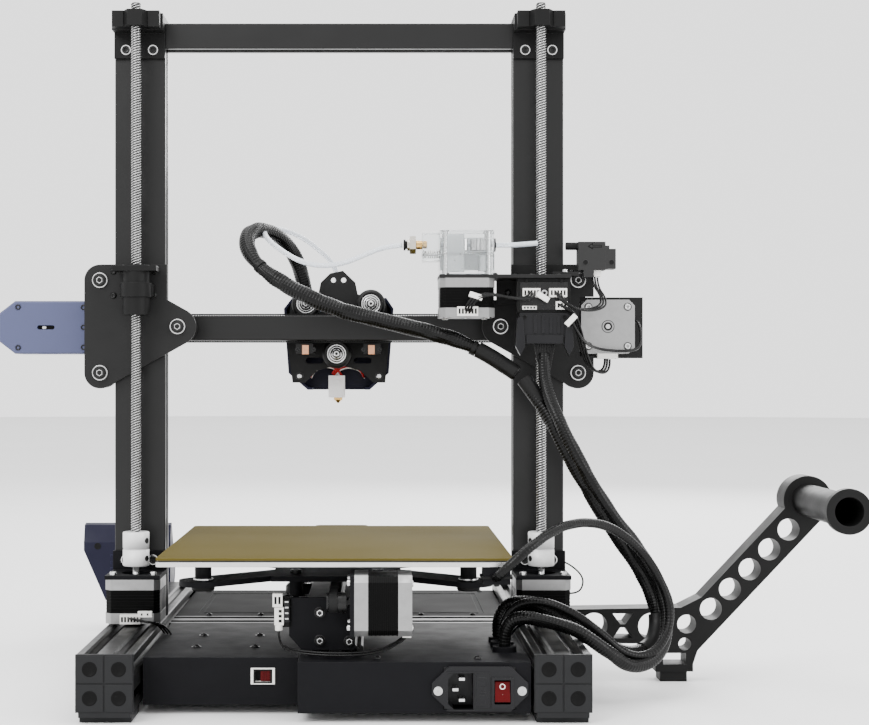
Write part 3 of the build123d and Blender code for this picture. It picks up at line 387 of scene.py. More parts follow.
def bridge(rings, closed=False):
    """The four-sided faces between neighbouring rings, and from the last to the first if closed."""
    count = len(rings[0])
    following = rings[1:] + (rings[:1] if closed else [])
    return [
        (a[i], a[(i + 1) % count], b[(i + 1) % count], b[i])
        for a, b in zip(rings, following) for i in range(count)
    ]


def show(obj):
    bpy.context.scene.collection.objects.link(obj)


def corners(half):
    """The corners of a square, from its middle."""
    return [(a, b) for a in (-half, half) for b in (-half, half)]


def travel(points):
    """Each point with two directions across the line, turned along it without twist."""
    heading = (points[1] - points[0]).normalized()
    across = heading.orthogonal().normalized()
    for i, point in enumerate(points):
        ahead = points[min(i + 1, len(points) - 1)] - points[max(i - 1, 0)]
        heading = ahead.normalized()
        across = (across - heading * across.dot(heading)).normalized()
        yield point, across, heading.cross(across)


def spline_line(route, name):
    """A curve object of one open NURBS spline through space, with the route as its control points."""
    data = bpy.data.curves.new(name, "CURVE")
    data.dimensions = "3D"
    data.resolution_u = 16
    spline = data.splines.new("NURBS")
    spline.points.add(len(route) - 1)
    for point, place in zip(spline.points, route):
        point.co = (*place, 1)
    spline.order_u = 3
    spline.use_endpoint_u = True
    obj = bpy.data.objects.new(name, data)
    show(obj)
    return obj


def read_line(route, step):
    """Even points, step metres apart, along the route's NURBS spline."""
    curve = spline_line(route, "route")
    bpy.context.view_layer.update()
    mesh = bpy.data.meshes.new_from_object(curve.evaluated_get(bpy.context.evaluated_depsgraph_get()))
    line = [v.co.copy() for v in mesh.vertices]
    bpy.data.objects.remove(curve)
    bpy.data.meshes.remove(mesh)
    reach = [0.0]
    for a, b in zip(line, line[1:]):
        reach.append(reach[-1] + (b - a).length)
    count = round(reach[-1] / step)
    even = []
    i = 0
    for k in range(count + 1):
        target = reach[-1] * k / count
        while i < len(line) - 2 and reach[i + 1] < target:
            i += 1
        share = (target - reach[i]) / max(reach[i + 1] - reach[i], 1e-9)
        even.append(line[i].lerp(line[i + 1], min(max(share, 0), 1)))
    return even

# ---- cords ----

HEAD_ROUTE = [
    (0.029, -0.05, 0.308), (0.033, -0.048, 0.326), (0.041, -0.038, 0.344), (0.052, -0.022, 0.356),
    (0.065, -0.002, 0.359), (0.074, 0.018, 0.353), (0.073, 0.036, 0.338), (0.058, 0.048, 0.321),
    (0.031, 0.055, 0.304), (-0.005, 0.058, 0.289), (-0.047, 0.06, 0.279), (-0.088, 0.061, 0.269),
    (-0.117, 0.063, 0.256), (-0.138, 0.066, 0.241),
]
MAIN_ROUTE = [
    (-0.143, 0.068, 0.237), (-0.159, 0.074, 0.215), (-0.171, 0.079, 0.19), (-0.185, 0.083, 0.164),
    (-0.201, 0.087, 0.136), (-0.219, 0.09, 0.109), (-0.235, 0.092, 0.084), (-0.243, 0.095, 0.058),
    (-0.236, 0.108, 0.037), (-0.215, 0.124, 0.033), (-0.193, 0.132, 0.044), (-0.172, 0.128, 0.06),
    (-0.15, 0.116, 0.07), (-0.131, 0.104, 0.07), (-0.122, 0.1, 0.06), (-0.122, 0.1, 0.044),
]
RIBBON_ROUTE = [
    (-0.158, 0.072, 0.257), (-0.158, 0.072, 0.241), (-0.16, 0.079, 0.226), (-0.167, 0.089, 0.207),
    (-0.178, 0.095, 0.184), (-0.191, 0.099, 0.159), (-0.207, 0.102, 0.134), (-0.227, 0.104, 0.109),
    (-0.242, 0.108, 0.082), (-0.246, 0.116, 0.055), (-0.236, 0.132, 0.033), (-0.214, 0.148, 0.028),
    (-0.195, 0.158, 0.042), (-0.175, 0.161, 0.057), (-0.152, 0.156, 0.064), (-0.132, 0.148, 0.066),
    (-0.122, 0.144, 0.057), (-0.122, 0.144, 0.044),
]
BED_ROUTE = [
    (-0.112, 0.186, 0.099), (-0.112, 0.196, 0.099), (-0.118, 0.204, 0.106), (-0.131, 0.203, 0.118),
    (-0.146, 0.192, 0.128), (-0.162, 0.175, 0.134), (-0.179, 0.158, 0.135), (-0.197, 0.144, 0.131),
    (-0.213, 0.134, 0.121), (-0.228, 0.128, 0.106), (-0.239, 0.125, 0.088), (-0.246, 0.126, 0.068),
    (-0.242, 0.131, 0.048), (-0.228, 0.138, 0.035), (-0.209, 0.143, 0.037), (-0.192, 0.143, 0.053),
    (-0.173, 0.139, 0.067), (-0.152, 0.131, 0.075), (-0.133, 0.124, 0.072), (-0.122, 0.122, 0.058),
    (-0.122, 0.122, 0.044),
]
BOWDEN_ROUTE = [
    (-0.0495, 0.058, 0.341), (-0.036, 0.058, 0.34), (-0.019, 0.056, 0.333), (-0.004, 0.054, 0.327),
    (0.013, 0.05, 0.325), (0.03, 0.043, 0.329), (0.045, 0.033, 0.338), (0.057, 0.019, 0.348),
    (0.062, 0.001, 0.356), (0.058, -0.018, 0.361), (0.046, -0.034, 0.361), (0.031, -0.046, 0.355),
    (0.019, -0.053, 0.346), (0.01, -0.058, 0.338), (0.004, -0.0598, 0.329), (0.0028, -0.06, 0.3152),
]

STRANDS = 9
AROUND = 54
BRAID_PITCH = 0.0048
BRAID_STEP = 0.0006
SMOOTH_STEP = 0.0015


def sleeve(name, route, diameter, node, lobes=0.05, tied=(), pull=0.75):
    """A braided sleeve round loose wires: strands cross over and under, and ties pull it in."""
    step = BRAID_STEP
    line = read_line(route, step)
    mesh_kit = bmesh.new()
    rings = []
    for k, (point, u, v) in enumerate(travel(line)):
        along = k * step
        end = min(k, len(line) - 1 - k) * step
        snug = min([1.0] + [pull + (1 - pull) * min(1, (abs(along - t) / 0.016) ** 1.3) for t in tied])
        snug = min(snug, 0.86 + 0.14 * min(1, end / 0.012))
        ring = []
        for i in range(AROUND):
            angle = 2 * pi * i / AROUND
            lean = 2 * pi * along / BRAID_PITCH
            over = sin(STRANDS * angle + lean) * sin(STRANDS * angle - lean)
            bulge = lobes * sin(3 * angle + 9 * noise(Vector((along * 30, 0.3, diameter * 90))))
            slack = 0.06 * noise(Vector((along * 45, angle, 7.1)))
            radius = diameter / 2 * (0.93 * snug * (1 + bulge * snug + slack) + 0.05 * over)
            ring.append(mesh_kit.verts.new(point + (u * cos(angle) + v * sin(angle)) * radius))
        rings.append(ring)
    for wall in bridge(rings):
        mesh_kit.faces.new(wall).smooth = True
    for ring in (rings[0], rings[-1]):
        mesh_kit.faces.new(ring)
    bmesh.ops.recalc_face_normals(mesh_kit, faces=mesh_kit.faces)
    mesh = bpy.data.meshes.new(name)
    mesh_kit.to_mesh(mesh)
    mesh_kit.free()
    mesh.materials.append(SLEEVE)
    obj = bpy.data.objects.new(name, mesh)
    show(obj)
    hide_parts(node)
    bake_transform(obj)
    ties = [tie_band(f"{name}_tie_{n}", line, step, t, diameter * pull, body)
            for n, (t, body) in enumerate(tied.items())] if tied else []
    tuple(route[0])


def tie_band(name, line, step, along, across, body):
    """A nylon tie round a sleeve, with its head."""
    kit = Kit()
    k = round(along / step)
    frames = list(travel(line))
    point, u, v = frames[k]
    heading = u.cross(v)
    radius = across / 2 / MM
    kit.lathe(
        [(radius - 0.6, -1.6), (radius + 0.7, -1.6), (radius + 0.7, 1.6), (radius - 0.6, 1.6)],
        point / MM, heading, TIE, 28,
    )
    head = point / MM + u * (radius + 1.4)
    block = [
        head + heading * a + v * b + u * c for c in (-1.4, 1.6) for a, b in
        ((-2.4, -2.2), (2.4, -2.2), (2.4, 2.2), (-2.4, 2.2))
    ]
    verts = [kit.bm.verts.new(c) for c in block]
    ends = [verts[:4], verts[4:]]
    kit.add_faces([*bridge(ends), *ends], TIE, False)
    return kit.piece(name, body, bevel=0.2)


sleeve("head_harness", HEAD_ROUTE, 0.013, "harness_head",
       tied={0.15: "gantry", 0.332: "gantry"})
sleeve("main_harness", MAIN_ROUTE, 0.013, "harness_main",
       tied={0.215: "frame"})
sleeve("ribbon_harness", RIBBON_ROUTE, 0.01, "harness_ribbon")
sleeve("bed_harness", BED_ROUTE, 0.007, "harness_bed",
       lobes=0.03)

# the filament's tube: smooth, so its wall shows the light
bowden_line = read_line(BOWDEN_ROUTE, SMOOTH_STEP)
kit = Kit()
kit.tube([p / MM for p in bowden_line], 2.0, PTFE, 20)
bowden = kit.piece("filament_tube", None, ["bowden_tube"], bevel=0)
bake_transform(bowden)
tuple(BOWDEN_ROUTE[0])

# ---- tapes on the harness ----


def tape(name, route, start, stop, radius, body):
    """A smooth wrap of tape over part of a sleeve."""
    line = read_line(route, SMOOTH_STEP)
    kit = Kit()
    part = line[round(start / SMOOTH_STEP):round(stop / SMOOTH_STEP)]
    kit.tube([p / MM for p in part], radius, TIE, 24)
    kit.piece(name, body, bevel=0.25)


tape("main_tape", MAIN_ROUTE, 0.205, 0.245, 6.9, "frame")
tape("joint_tape", HEAD_ROUTE, 0.335, 0.3705, 6.3, "gantry")
tape("joint_tape_lower", MAIN_ROUTE, 0.0, 0.024, 6.2, "gantry")

# ---- stepper motors ----

UPRIGHT_X = 158
SCREW_Y = 50.5
MOTOR_HOLE = 15.5
BELL_SHARE = 0.24


def octagon(half, corner):
    cut = half - corner
    return [(cut, half), (half, cut), (half, -cut), (cut, -half), (-cut, -half), (-half, -cut),
            (-half, cut), (-cut, half)]


def motor(kit, centre, axis, face, back):
    """A NEMA 17 motor from its mounting face to its back along an axis, with its screws and boss."""
    u, v = centre
    sign = 1 if back > face else -1
    length = abs(back - face)

    def section(half, corner):
        return [(u + a, v + b) for a, b in octagon(half, corner)]

    cap = BELL_SHARE * length
    kit.prism(section(21.15, 4.6), axis, face, face + sign * cap, CAST)
    count = 14
    inner, pitch = face + sign * cap, (length - 2 * cap) / count
    for i in range(count):
        half = 20.75 if i % 2 else 20.6
        low, high = (inner + sign * pitch * k for k in (i, i + 1))
        kit.prism(section(half, 4.2), axis, low, high, STACK)
    kit.prism(section(21.15, 4.6), axis, back - sign * cap, back, CAST)
    place = TO_SPACE[axis]
    out = tuple(sign * c for c in AXES[axis])
    boss = place(u, v, back)
    # painted shade: the thin dark rings just outside and just inside the raised boss ring stand in for the
    # shade along its edges
    kit.lathe([(5.1, -0.05), (5.1, 0.1), (4.5, 0.1), (4.5, -0.05)], boss, out, BLACK_STEEL, 28)
    kit.lathe([(4.5, -0.05), (4.5, 0.35), (3.4, 0.35), (3.3, -0.05)], boss, out, CAST, 28)
    kit.lathe([(3.3, -0.05), (3.3, 0.12), (1.9, 0.12), (1.9, -0.05)], boss, out, BLACK_STEEL, 28)
    kit.lathe([(1.9, -0.05), (1.8, 0.5), (0, 0.5)], boss, out, STEEL, 28)
    for a, b in corners(MOTOR_HOLE):
        spot = place(u + a, v + b, back)
        # painted shade: a thin dark ring round each screw stands in for the shade in the hole round its
        # head
        kit.lathe([(3.2, -0.05), (3.2, 0.14), (2.6, 0.14), (2.5, -0.6)], spot, out, BLACK_STEEL, 24)
        kit.screw(tuple(p - o for p, o in zip(spot, out)), out, 2.45, 1.9, STEEL)


def socket_strip(kit, x, y, z, pins, face):
    """A white connector with a row of pin holes on one face, named by its axis and sign; the holes are
    dark boxes, painted shade.
    """
    kit.box(x, y, z, WHITE)
    spans = {"x": x, "y": y, "z": z}
    axis, sign = face[1], 1 if face[0] == "+" else -1
    level = max(spans[axis]) if sign > 0 else min(spans[axis])
    run = "x" if axis != "x" else "y"
    rise = "z" if axis != "z" else "y"
    pitch = (spans[run][1] - spans[run][0]) / (pins + 0.5)
    for i in range(pins):
        at = spans[run][0] + pitch * (i + 0.75)
        hole = {
            run: (at - pitch * 0.3, at + pitch * 0.3),
            rise: (spans[rise][0] + 0.22 * (spans[rise][1] - spans[rise][0]),
                   spans[rise][1] - 0.22 * (spans[rise][1] - spans[rise][0])),
            axis: (level - 0.2, level + 0.12) if sign > 0 else (level - 0.12, level + 0.2),
        }
        # each pin hole is a dark box: painted shade for the hole
        kit.box(hole["x"], hole["y"], hole["z"], HOLE_SHADE)


kit = Kit()
for side in (-1, 1):
    motor(kit, (side * UPRIGHT_X, SCREW_Y), "z", 83, 49)
motor(kit, (178.5, 80), "x", -14, -54)
socket_strip(kit, (151.5, 167), (69, 75.5), (49.4, 56.5), 6, "+y")
socket_strip(kit, (-167, -151.5), (69, 75.5), (49.4, 56.5), 6, "+y")
socket_strip(kit, (-53.6, -47.5), (172, 186), (56.5, 59.5), 4, "-z")
kit.piece("base_motor_set", "frame", ["base_motors"], bevel=0.25)

kit = Kit()
motor(kit, (-212.1, 278.5), "y", 3, 37)
motor(kit, (-98.8, 58.2), "z", 314.4, 284.4)
socket_strip(kit, (-107, -91), (76, 81.5), (285.2, 292.4), 6, "+y")
socket_strip(kit, (-220, -204), (29.5, 36.5), (253.2, 257.6), 6, "-z")
kit.piece("gantry_motor_set", "gantry", ["gantry_motors"], bevel=0.25)

# ---- lead screws ----

LEAD, STARTS = 8.0, 4
THREAD_ROOT, THREAD_CREST = 2.95, 4.0
THREAD_BRIGHT = 3.78
CREST_WIDTH, FLANK_SLOPE = 2.6, 7.2
SCREW_END, END_TAPER = 531, 0.6


def lead_screw(side, name, node, body):
    """A four-start screw above its rigid coupler: bright crests, and thread roots painted dark as shade.
    """
    kit = Kit()
    x, y = side * UPRIGHT_X, SCREW_Y
    kit.lathe(
        [(2.6, 91.6), (9.7, 91.5), (10.25, 92.1), (10.25, 104.3), (9.5, 104.4), (9.5, 105.1),
         (10.25, 105.2), (10.25, 117.4), (9.7, 118), (4.1, 118)], (x, y, 0), "z", SATIN, 48,
    )
    kit.lathe([(0, 73), (2.5, 73), (2.5, 92), (0, 92)], (x, y, 0), "z", STEEL, 24)
    for z in (97.6, 111.4):
        for turn in (radians(62), radians(152)):
            out = (-side * sin(turn), cos(turn), 0)
            start = tuple(c + o * 8.6 for c, o in zip((x, y, z), out))
            kit.lathe(
                [(2.3, 1.72), (2.3, 1.2), (1.9, 1.1), (1.9, 1.3), (1.0, 1.3), (0.9, 0.7, 6), (0, 0.7)],
                start, out, BLACK_STEEL, 24,
            )
    turn_steps, height_step = 24, 0.5
    bottom, top = 117, 530.4
    levels = round((top - bottom) / height_step)
    pitch = LEAD / STARTS
    rings = []
    for k in range(levels + 1):
        z = bottom + (top - bottom) * k / levels
        ring = []
        for i in range(turn_steps):
            angle = 2 * pi * i / turn_steps
            phase = ((z - LEAD * i / turn_steps) / pitch) % 1
            height = min(1, max(0, CREST_WIDTH - abs(phase - 0.5) * FLANK_SLOPE))
            radius = THREAD_ROOT + (THREAD_CREST - THREAD_ROOT) * height
            radius = min(radius, THREAD_ROOT + max(0, SCREW_END - z) * END_TAPER)
            reach = Vector((radius * cos(angle), radius * sin(angle), 0))
            ring.append(kit.bm.verts.new(Vector((x, y, z)) + reach))
        rings.append(ring)
    axis = Vector((x, y))
    crest, root = [], []
    for wall in bridge(rings):
        mean_radius = sum((v.co.xy - axis).length for v in wall) / 4
        (crest if mean_radius > THREAD_BRIGHT else root).append(wall)
    kit.add_faces(crest, STEEL, True)
    # the roots take the dark finish: painted shade in the grooves
    kit.add_faces(root, ROOT_SHADE, True)
    kit.add_faces([rings[0], rings[-1]], STEEL, False)
    kit.piece(name, body, [node], bevel=0)


lead_screw(1, "threaded_screw_left", "lead_screw_left", "screw_left")
lead_screw(-1, "threaded_screw_right", "lead_screw_right", "screw_right")

# ---- wheels ----


def wheel(node, centre, axis, body):
    """A V wheel: turned polymer with a steel bearing in each face."""
    kit = Kit()
    half, crown = 5.1, 2.9
    kit.lathe(
        [(8.1, -half + 0.3), (9.4, -half), (9.9, -half), (11.95, -crown), (12, -crown + 0.3),
         (12, crown - 0.3), (11.95, crown), (9.9, half), (9.4, half), (8.1, half - 0.3),
         (8.0, half - 0.6), (8.0, -half + 0.6), (8.1, -half + 0.3)], centre, axis, POLYMER, 64,
    )
    for sign in (-1, 1):
        level = half - 1.1
        races = [
            (8.0, level - 2.2), (8.0, level + 0.45), (7.8, level + 0.6), (6.9, level + 0.6),
            (6.7, level + 0.3),
        ]
        groove = [(6.7, level + 0.3), (6.5, level + 0.1), (6.3, level + 0.1)]
        shield = [(6.3, level + 0.1), (6.2, level + 0.4), (5.2, level + 0.4), (5.1, level + 0.3)]
        seal = [(5.1, level + 0.3), (5.0, level + 0.1), (4.5, level + 0.1), (4.5, level + 0.3)]
        inner = [(4.5, level + 0.3), (4.4, level + 0.6), (3.1, level + 0.6), (2.9, level + 0.4),
                 (2.6, level - 2.2)]
        for part, mat in ((races, STEEL), (groove, BLACK_STEEL), (shield, STEEL), (seal, BLACK_STEEL),
                          (inner, STEEL)):
            kit.lathe_open([(r, sign * d) for r, d in part], centre, axis, mat, 48)
    kit.piece(f"{node}_turned", body, [node], bevel=0)


for end, y in (("front", 24.5), ("back", 104.5)):
    for side, sign in (("left", 1), ("right", -1)):
        wheel(f"bed_wheel_{side}_{end}", (sign * 30.6, y, 70), "z", f"bed_wheel_{side}_{end}")
Z_WHEELS = (("upper", 188.6, 315), ("lower", 188.6, 242), ("inner", 127.4, 278.5))
for side, sign in (("left", 1), ("right", -1)):
    for place, x, z in Z_WHEELS:
        wheel(f"z_wheel_{side}_{place}", (sign * x, 18, z), "y", f"z_wheel_{side}_{place}")
HEAD_WHEELS = (("left", 28.6, 299.1), ("right", -25.0, 299.1), ("lower", 3.3, 257.9))
for place, x, z in HEAD_WHEELS:
    wheel(f"head_wheel_{place}", (x, -30, z), "y", f"head_wheel_{place}")

# ---- screws and washers on the plates ----

kit = Kit()
for side in (-1, 1):
    for _, x, z in Z_WHEELS:
        kit.ring((side * x, 36, z), "y", 6.2, 4.2, 1.4, STEEL, 40)
        kit.screw((side * x, 36, z), "y", 4.4, 3.4)
        # painted highlight: a thin bright steel hexagon round the black screw's socket stands in for the
        # glint on its edge
        kit.ring((side * x, 39.3, z), "y", 2.6, 2.1, 0.15, STEEL, 6)
        kit.ring((side * x, 0, z), (0, -1, 0), 5.4, 2.2, 0.9, STEEL, 6)
        kit.lathe([(2.5, 0), (2.5, 1.9), (2.1, 2.3), (0, 2.3)], (side * x, 0, z), (0, -1, 0), STEEL, 24)
for x, z in ((146, 322), (178, 322), (146, 303), (178, 303)):
    kit.button((x, 36, z), "y", 2.6)
kit.button((-139, 36, 318), "y", 2.6)
kit.button((-133, 39, 305), "y", 2.6)
for x in (-120, -83.3, -170, -150):
    kit.button((x, 74 if x > -125 else 62, 317), "z", 2.5)
kit.screw((-176, 56, 320), "z", 2.4, 2.2, STEEL)
kit.screw((-182, 48, 320), "z", 2.4, 2.2)
for x, z in ((-196, 262), (-196, 295), (-228, 262), (-228, 295)):
    kit.button((x, 0, z), (0, -1, 0), 2.4)
kit.prism([(-118.5, 288), (-118.5, 299.5), (-138, 299.5), (-138, 288)], "y", 33.2, 35.8, PLATE)
kit.piece("gantry_screws", "gantry", bevel=0.12, segments=1)

kit = Kit()
for side in (-1, 1):
    for dx in (-10.7, 10.7):
        for y, z, radius, height in ((31, 94, 3.1, 3.0), (31.5, 497.5, 3.0, 2.6)):
            kit.screw((side * UPRIGHT_X + dx, y, z), "y", radius, height)
            kit.ring((side * UPRIGHT_X + dx, y, z), "y", radius + 1.1, radius, 1.2, STEEL, 28)
    for dx in (-MOTOR_HOLE, MOTOR_HOLE):
        kit.screw((side * UPRIGHT_X + dx, SCREW_Y + MOTOR_HOLE, 86), "z", 2.6, 2.6, STEEL)
for x, z in ((11, 70.5), (11, 50.5), (-10, 50)):
    kit.screw((x, 160, z), "y", 3.2, 3.2, BLACK_STEEL)
    kit.ring((x, 160, z), "y", 4.0, 3.1, 0.6, BLACK_STEEL)
    # painted highlight: a thin bright steel hexagon round the black screw's socket stands in for the glint
    # on its edge
    kit.ring((x, 163.1, z), "y", 2.3, 1.7, 0.15, STEEL, 6)
for y, z in ((163, 64.5), (194, 64.5), (163, 95.5), (194, 95.5)):
    kit.screw((-11, y, z), "x", 2.4, 2.2, STEEL)
for x, y in ((103, 70), (103, 124), (60, 70), (60, 124)):
    kit.ring((x, y, 40), "z", 3.7, 2.6, 0.4, BLACK_STEEL)
    kit.button((x, y, 40), "z", 2.7)
for x, y in ((-30, 60), (-125, 30), (-30, 185), (-100, 185)):
    kit.button((x, y, 40 if y < 162 else 42), "z", 2.6)
for x, y in ((-67, -40), (-110, -40), (67, -40), (110, -40), (-125, -190), (125, -190), (0, -190)):
    kit.button((x, y, 40), "z", 2.6)
for x in (-71.8, -129.6):
    kit.ring((x, 202.5, 22.4), "y", 3.1, 2.4, 0.3, DULL)
    kit.lathe([(2.5, 0), (2.4, 0.5), (1.6, 0.85), (0.9, 0.85), (0.8, 0.3, 6), (0, 0.3)],
              (x, 202.5, 22.4), "y", DULL, 24)
    # painted shade: a thin dark ring round the socket stands in for the shade in it
    kit.ring((x, 203.05, 22.4), "y", 1.7, 0.9, 0.15, HOLE_SHADE, 24)
for x in (-5, 7):
    kit.screw((x, -238, 66), (0, -1, 0), 2.4, 2.4)
kit.piece("frame_screws", "frame", bevel=0.12, segments=1)

# ---- print head ----

kit = Kit()
for x, z in ((34.6, 239.4), (-31.6, 239.4)):
    kit.ring((x, -42, z), "y", 3.6, 1.9, 0.9, BLACK_STEEL)
    kit.screw((x, -42, z), "y", 1.9, 2.2, STEEL)
for _, x, z in HEAD_WHEELS:
    kit.ring((x, -24.7, z), "y", 4.0, 2.5, 0.9, STEEL)
    kit.lathe([(3.9, 0.8), (3.9, 3.2), (3.5, 3.6), (2.6, 3.6)], (x, -24.7, z), "y", BLACK_STEEL, 6)
    kit.lathe([(2.5, 0), (2.5, 4.3), (2.1, 4.7), (1.2, 4.7), (1.1, 3.4, 6), (0, 3.4)],
              (x, -24.7, z), "y", STEEL, 24)
for x in (-25.5, 28.2):
    kit.box((x - 2.6, x + 2.6), (-8.5, -4.4), (257.2, 264.6), COPPER)
    for dx in (-6.6, 6.6):
        kit.lathe([(1.9, -1.5), (1.9, 0.4), (1.1, 0.4), (1.0, -0.8)], (x + dx, -5, 261), "y",
                  BLACK_STEEL, 20)
for x, z in ((20, 292), (-16, 292)):
    kit.button((x, -42, z), "y", 2.6)
kit.piece("head_fittings", "head", bevel=0.15, segments=1)

kit = Kit()
hx, hy = 2.8, -60
fins = [(3.4, 252)]
for i in range(9):
    z = 256 + 4 * i
    fins += [(3.5, z), (8, z), (8, z + 1.2), (3.5, z + 1.4)]
fins += [(3.5, 294.9), (4.4, 295), (4.5, 299), (3.6, 299.4), (3.6, 302), (4.5, 302.6), (4.5, 310),
         (3.9, 310.6), (3.9, 314.8), (2.1, 314.8)]
kit.lathe(fins, (hx, hy, 0), "z", DULL, 40)
kit.box((hx - 7, hx + 7), (hy, -45), (288, 294), DULL)
kit.lathe([(2.2, 239.9), (2.2, 253)], (hx, hy, 0), "z", STEEL, 24)
kit.box((-3, 10.6), (-66, -48), (221.5, 240), SOCK)
for y in (-66.0, -48.0):
    sign = -1 if y < -60 else 1
    kit.lathe([(3.1, -0.2), (3.1, 0.5), (2.4, 0.6), (2.3, -0.4)], (3.6, y, 234), (0, sign, 0), SOCK, 24)
kit.box((-2.4, 10), (-48.2, -47.6), (223.5, 232), SOCK)
kit.lathe([(3.2, 221.6, 6), (3.2, 219.4, 6), (2.7, 218.9), (0.62, 216.7), (0.2, 216.7), (0.2, 218)],
          (hx, hy, 0), "z", BRASS, 24)
kit.lathe([(3, 220), (3.1, 223)], (hx, hy, 0), "z", BRASS, 24)
kit.piece("hot_end", "head", ["hotend"], bevel=0.45)

# blades and the fan's hub
kit = Kit()
fx, fy, fz = 1.8, -74.6, 268
kit.lathe([(1.6, -2.4), (6.9, -2.4), (7.4, -1.9), (7.5, 2.2), (7, 2.6), (1.6, 2.6)], (fx, fy, fz), "y",
          PLASTIC, 40)
BLADES, BLADE_STEPS = 7, 7
for n in range(BLADES):
    base = 2 * pi * n / BLADES
    rows = []
    for k in range(BLADE_STEPS + 1):
        share = k / BLADE_STEPS
        radius = 7.3 + 9.2 * share
        centre = base + 0.35 * share
        row = []
        for edge in (-1, 1):
            angle = centre + edge * (0.36 - 0.06 * share)
            lean = edge * (1.9 - 0.7 * share)
            for skin in (-0.3, 0.3):
                row.append(kit.bm.verts.new((
                    fx + radius * cos(angle), fy + lean + skin, fz + radius * sin(angle))))
        rows.append(row)
    faces = []
    for a, b in zip(rows, rows[1:]):
        faces += [(a[0], b[0], b[2], a[2]), (a[1], a[3], b[3], b[1]), (a[0], a[1], b[1], b[0]),
                  (a[2], b[2], b[3], a[3])]
    first, last = rows[0], rows[-1]
    faces += [(first[0], first[2], first[3], first[1]), (last[0], last[1], last[3], last[2])]
    kit.add_faces(faces, PLASTIC, False)
kit.piece("fan_blades", "fan", ["fan_rotor"], bevel=0)

# ---- extruder ----


def rounded(x0, x1, y0, y1, radius, steps=5):
    turns = ((x1 - radius, y1 - radius, 0), (x0 + radius, y1 - radius, 1),
             (x0 + radius, y0 + radius, 2), (x1 - radius, y0 + radius, 3))
    return [
        (cx + radius * cos(pi / 2 * (q + k / steps)), cy + radius * sin(pi / 2 * (q + k / steps)))
        for cx, cy, q in turns for k in range(steps + 1)
    ]


kit = Kit()
cx, cy, feed = -98.8, 58.2, 341
for low, high in ((317.1, 333.2), (333.4, 351)):
    kit.prism(rounded(cx - 20.8, cx + 20.8, cy - 20.8, cy + 20.8, 2.2), "z", low, high, CLEAR)
kit.prism(rounded(cx + 20.9, cx + 34, cy - 12, cy + 12, 3.5), "z", 328, 350, CLEAR)
kit.piece("extruder_shell", "gantry", ["extruder_body"], bevel=0.6, segments=3)

kit = Kit()
for dx, dy in corners(16.4):
    kit.lathe([(1.6, 317.6), (1.6, 350.2), (2.9, 350.2), (2.9, 350.8)], (cx + dx, cy + dy, 0), "z",
              STEEL, 20)
teeth = []
for i in range(36):
    angle = 2 * pi * i / 36
    reach = 8.2 if i % 2 else 7.2
    teeth.append((cx + 7 + reach * cos(angle), cy + 6 + reach * sin(angle)))
kit.prism(teeth, "z", 336, 345, STEEL)
kit.prism([(2 * (cx - 2) - x, y - 1.5) for x, y in teeth], "z", 336, 345, DULL)
kit.prism(rounded(cx - 17.5, cx + 17.5, cy - 19, cy - 11, 2), "z", 322, 347, FROST)
kit.prism(rounded(cx - 15, cx - 9.5, cy - 10, cy + 17, 2), "z", 320, 332, FROST)
kit.prism(rounded(cx + 2, cx + 16.5, cy + 14, cy + 17.5, 1.5), "z", 319, 348, FROST)
for i in range(7):
    kit.ring((cx + 22.5 + 1.5 * i, cy - 6, 334), "x", 3.4, 2.6, 0.7, STEEL, 24)
kit.lathe([(1.4, 0), (1.4, 12.5)], (cx + 21.6, cy - 6, 334), "x", STEEL, 16)
kit.lathe([(2, 0), (2, 40)], (cx - 20, cy, feed), "x", PTFE, 20)
kit.piece("extruder_works", "gantry", bevel=0.15, segments=1)

kit = Kit()
kit.lathe([(3.0, 30), (3.4, 34), (3.4, 38.4), (3.1, 38.6)], (cx, cy, feed), "x", BRASS, 24)
kit.lathe(
    [(2.2, 38.5), (6.0, 38.7, 6), (6.1, 41.0, 6), (6.0, 43.4, 6), (4.6, 43.6), (4.6, 45.4), (2.2, 45.5)],
    (cx, cy, feed), "x", NICKEL, 24,
)
kit.lathe([(2.1, 45.3), (3.1, 45.4), (3.1, 46.6), (4.3, 46.8), (4.3, 48.2), (2.1, 48.4)],
          (cx, cy, feed), "x", PLASTIC, 24)
kit.lathe([(2.1, -20.9), (3.4, -21), (3.4, -21.8), (5.2, -22), (5.2, -23.0), (3, -23.2), (2.1, -23.4)],
          (cx, cy, feed), "x", PLASTIC, 24)
kit.piece("feed_fittings", "gantry", bevel=0.1, segments=1)

stub = spline_line([(-0.1178, 0.0582, 0.341), (-0.128, 0.0582, 0.341), (-0.14, 0.0575, 0.3412),
                    (-0.1545, 0.0562, 0.3426)], "inlet_tube_stub")
stub.data.bevel_depth = 0.002
stub.data.bevel_resolution = 6
stub.data.use_fill_caps = True
stub.data.materials.append(PTFE)
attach(stub, "gantry")

# ---- sensor and adapter board ----

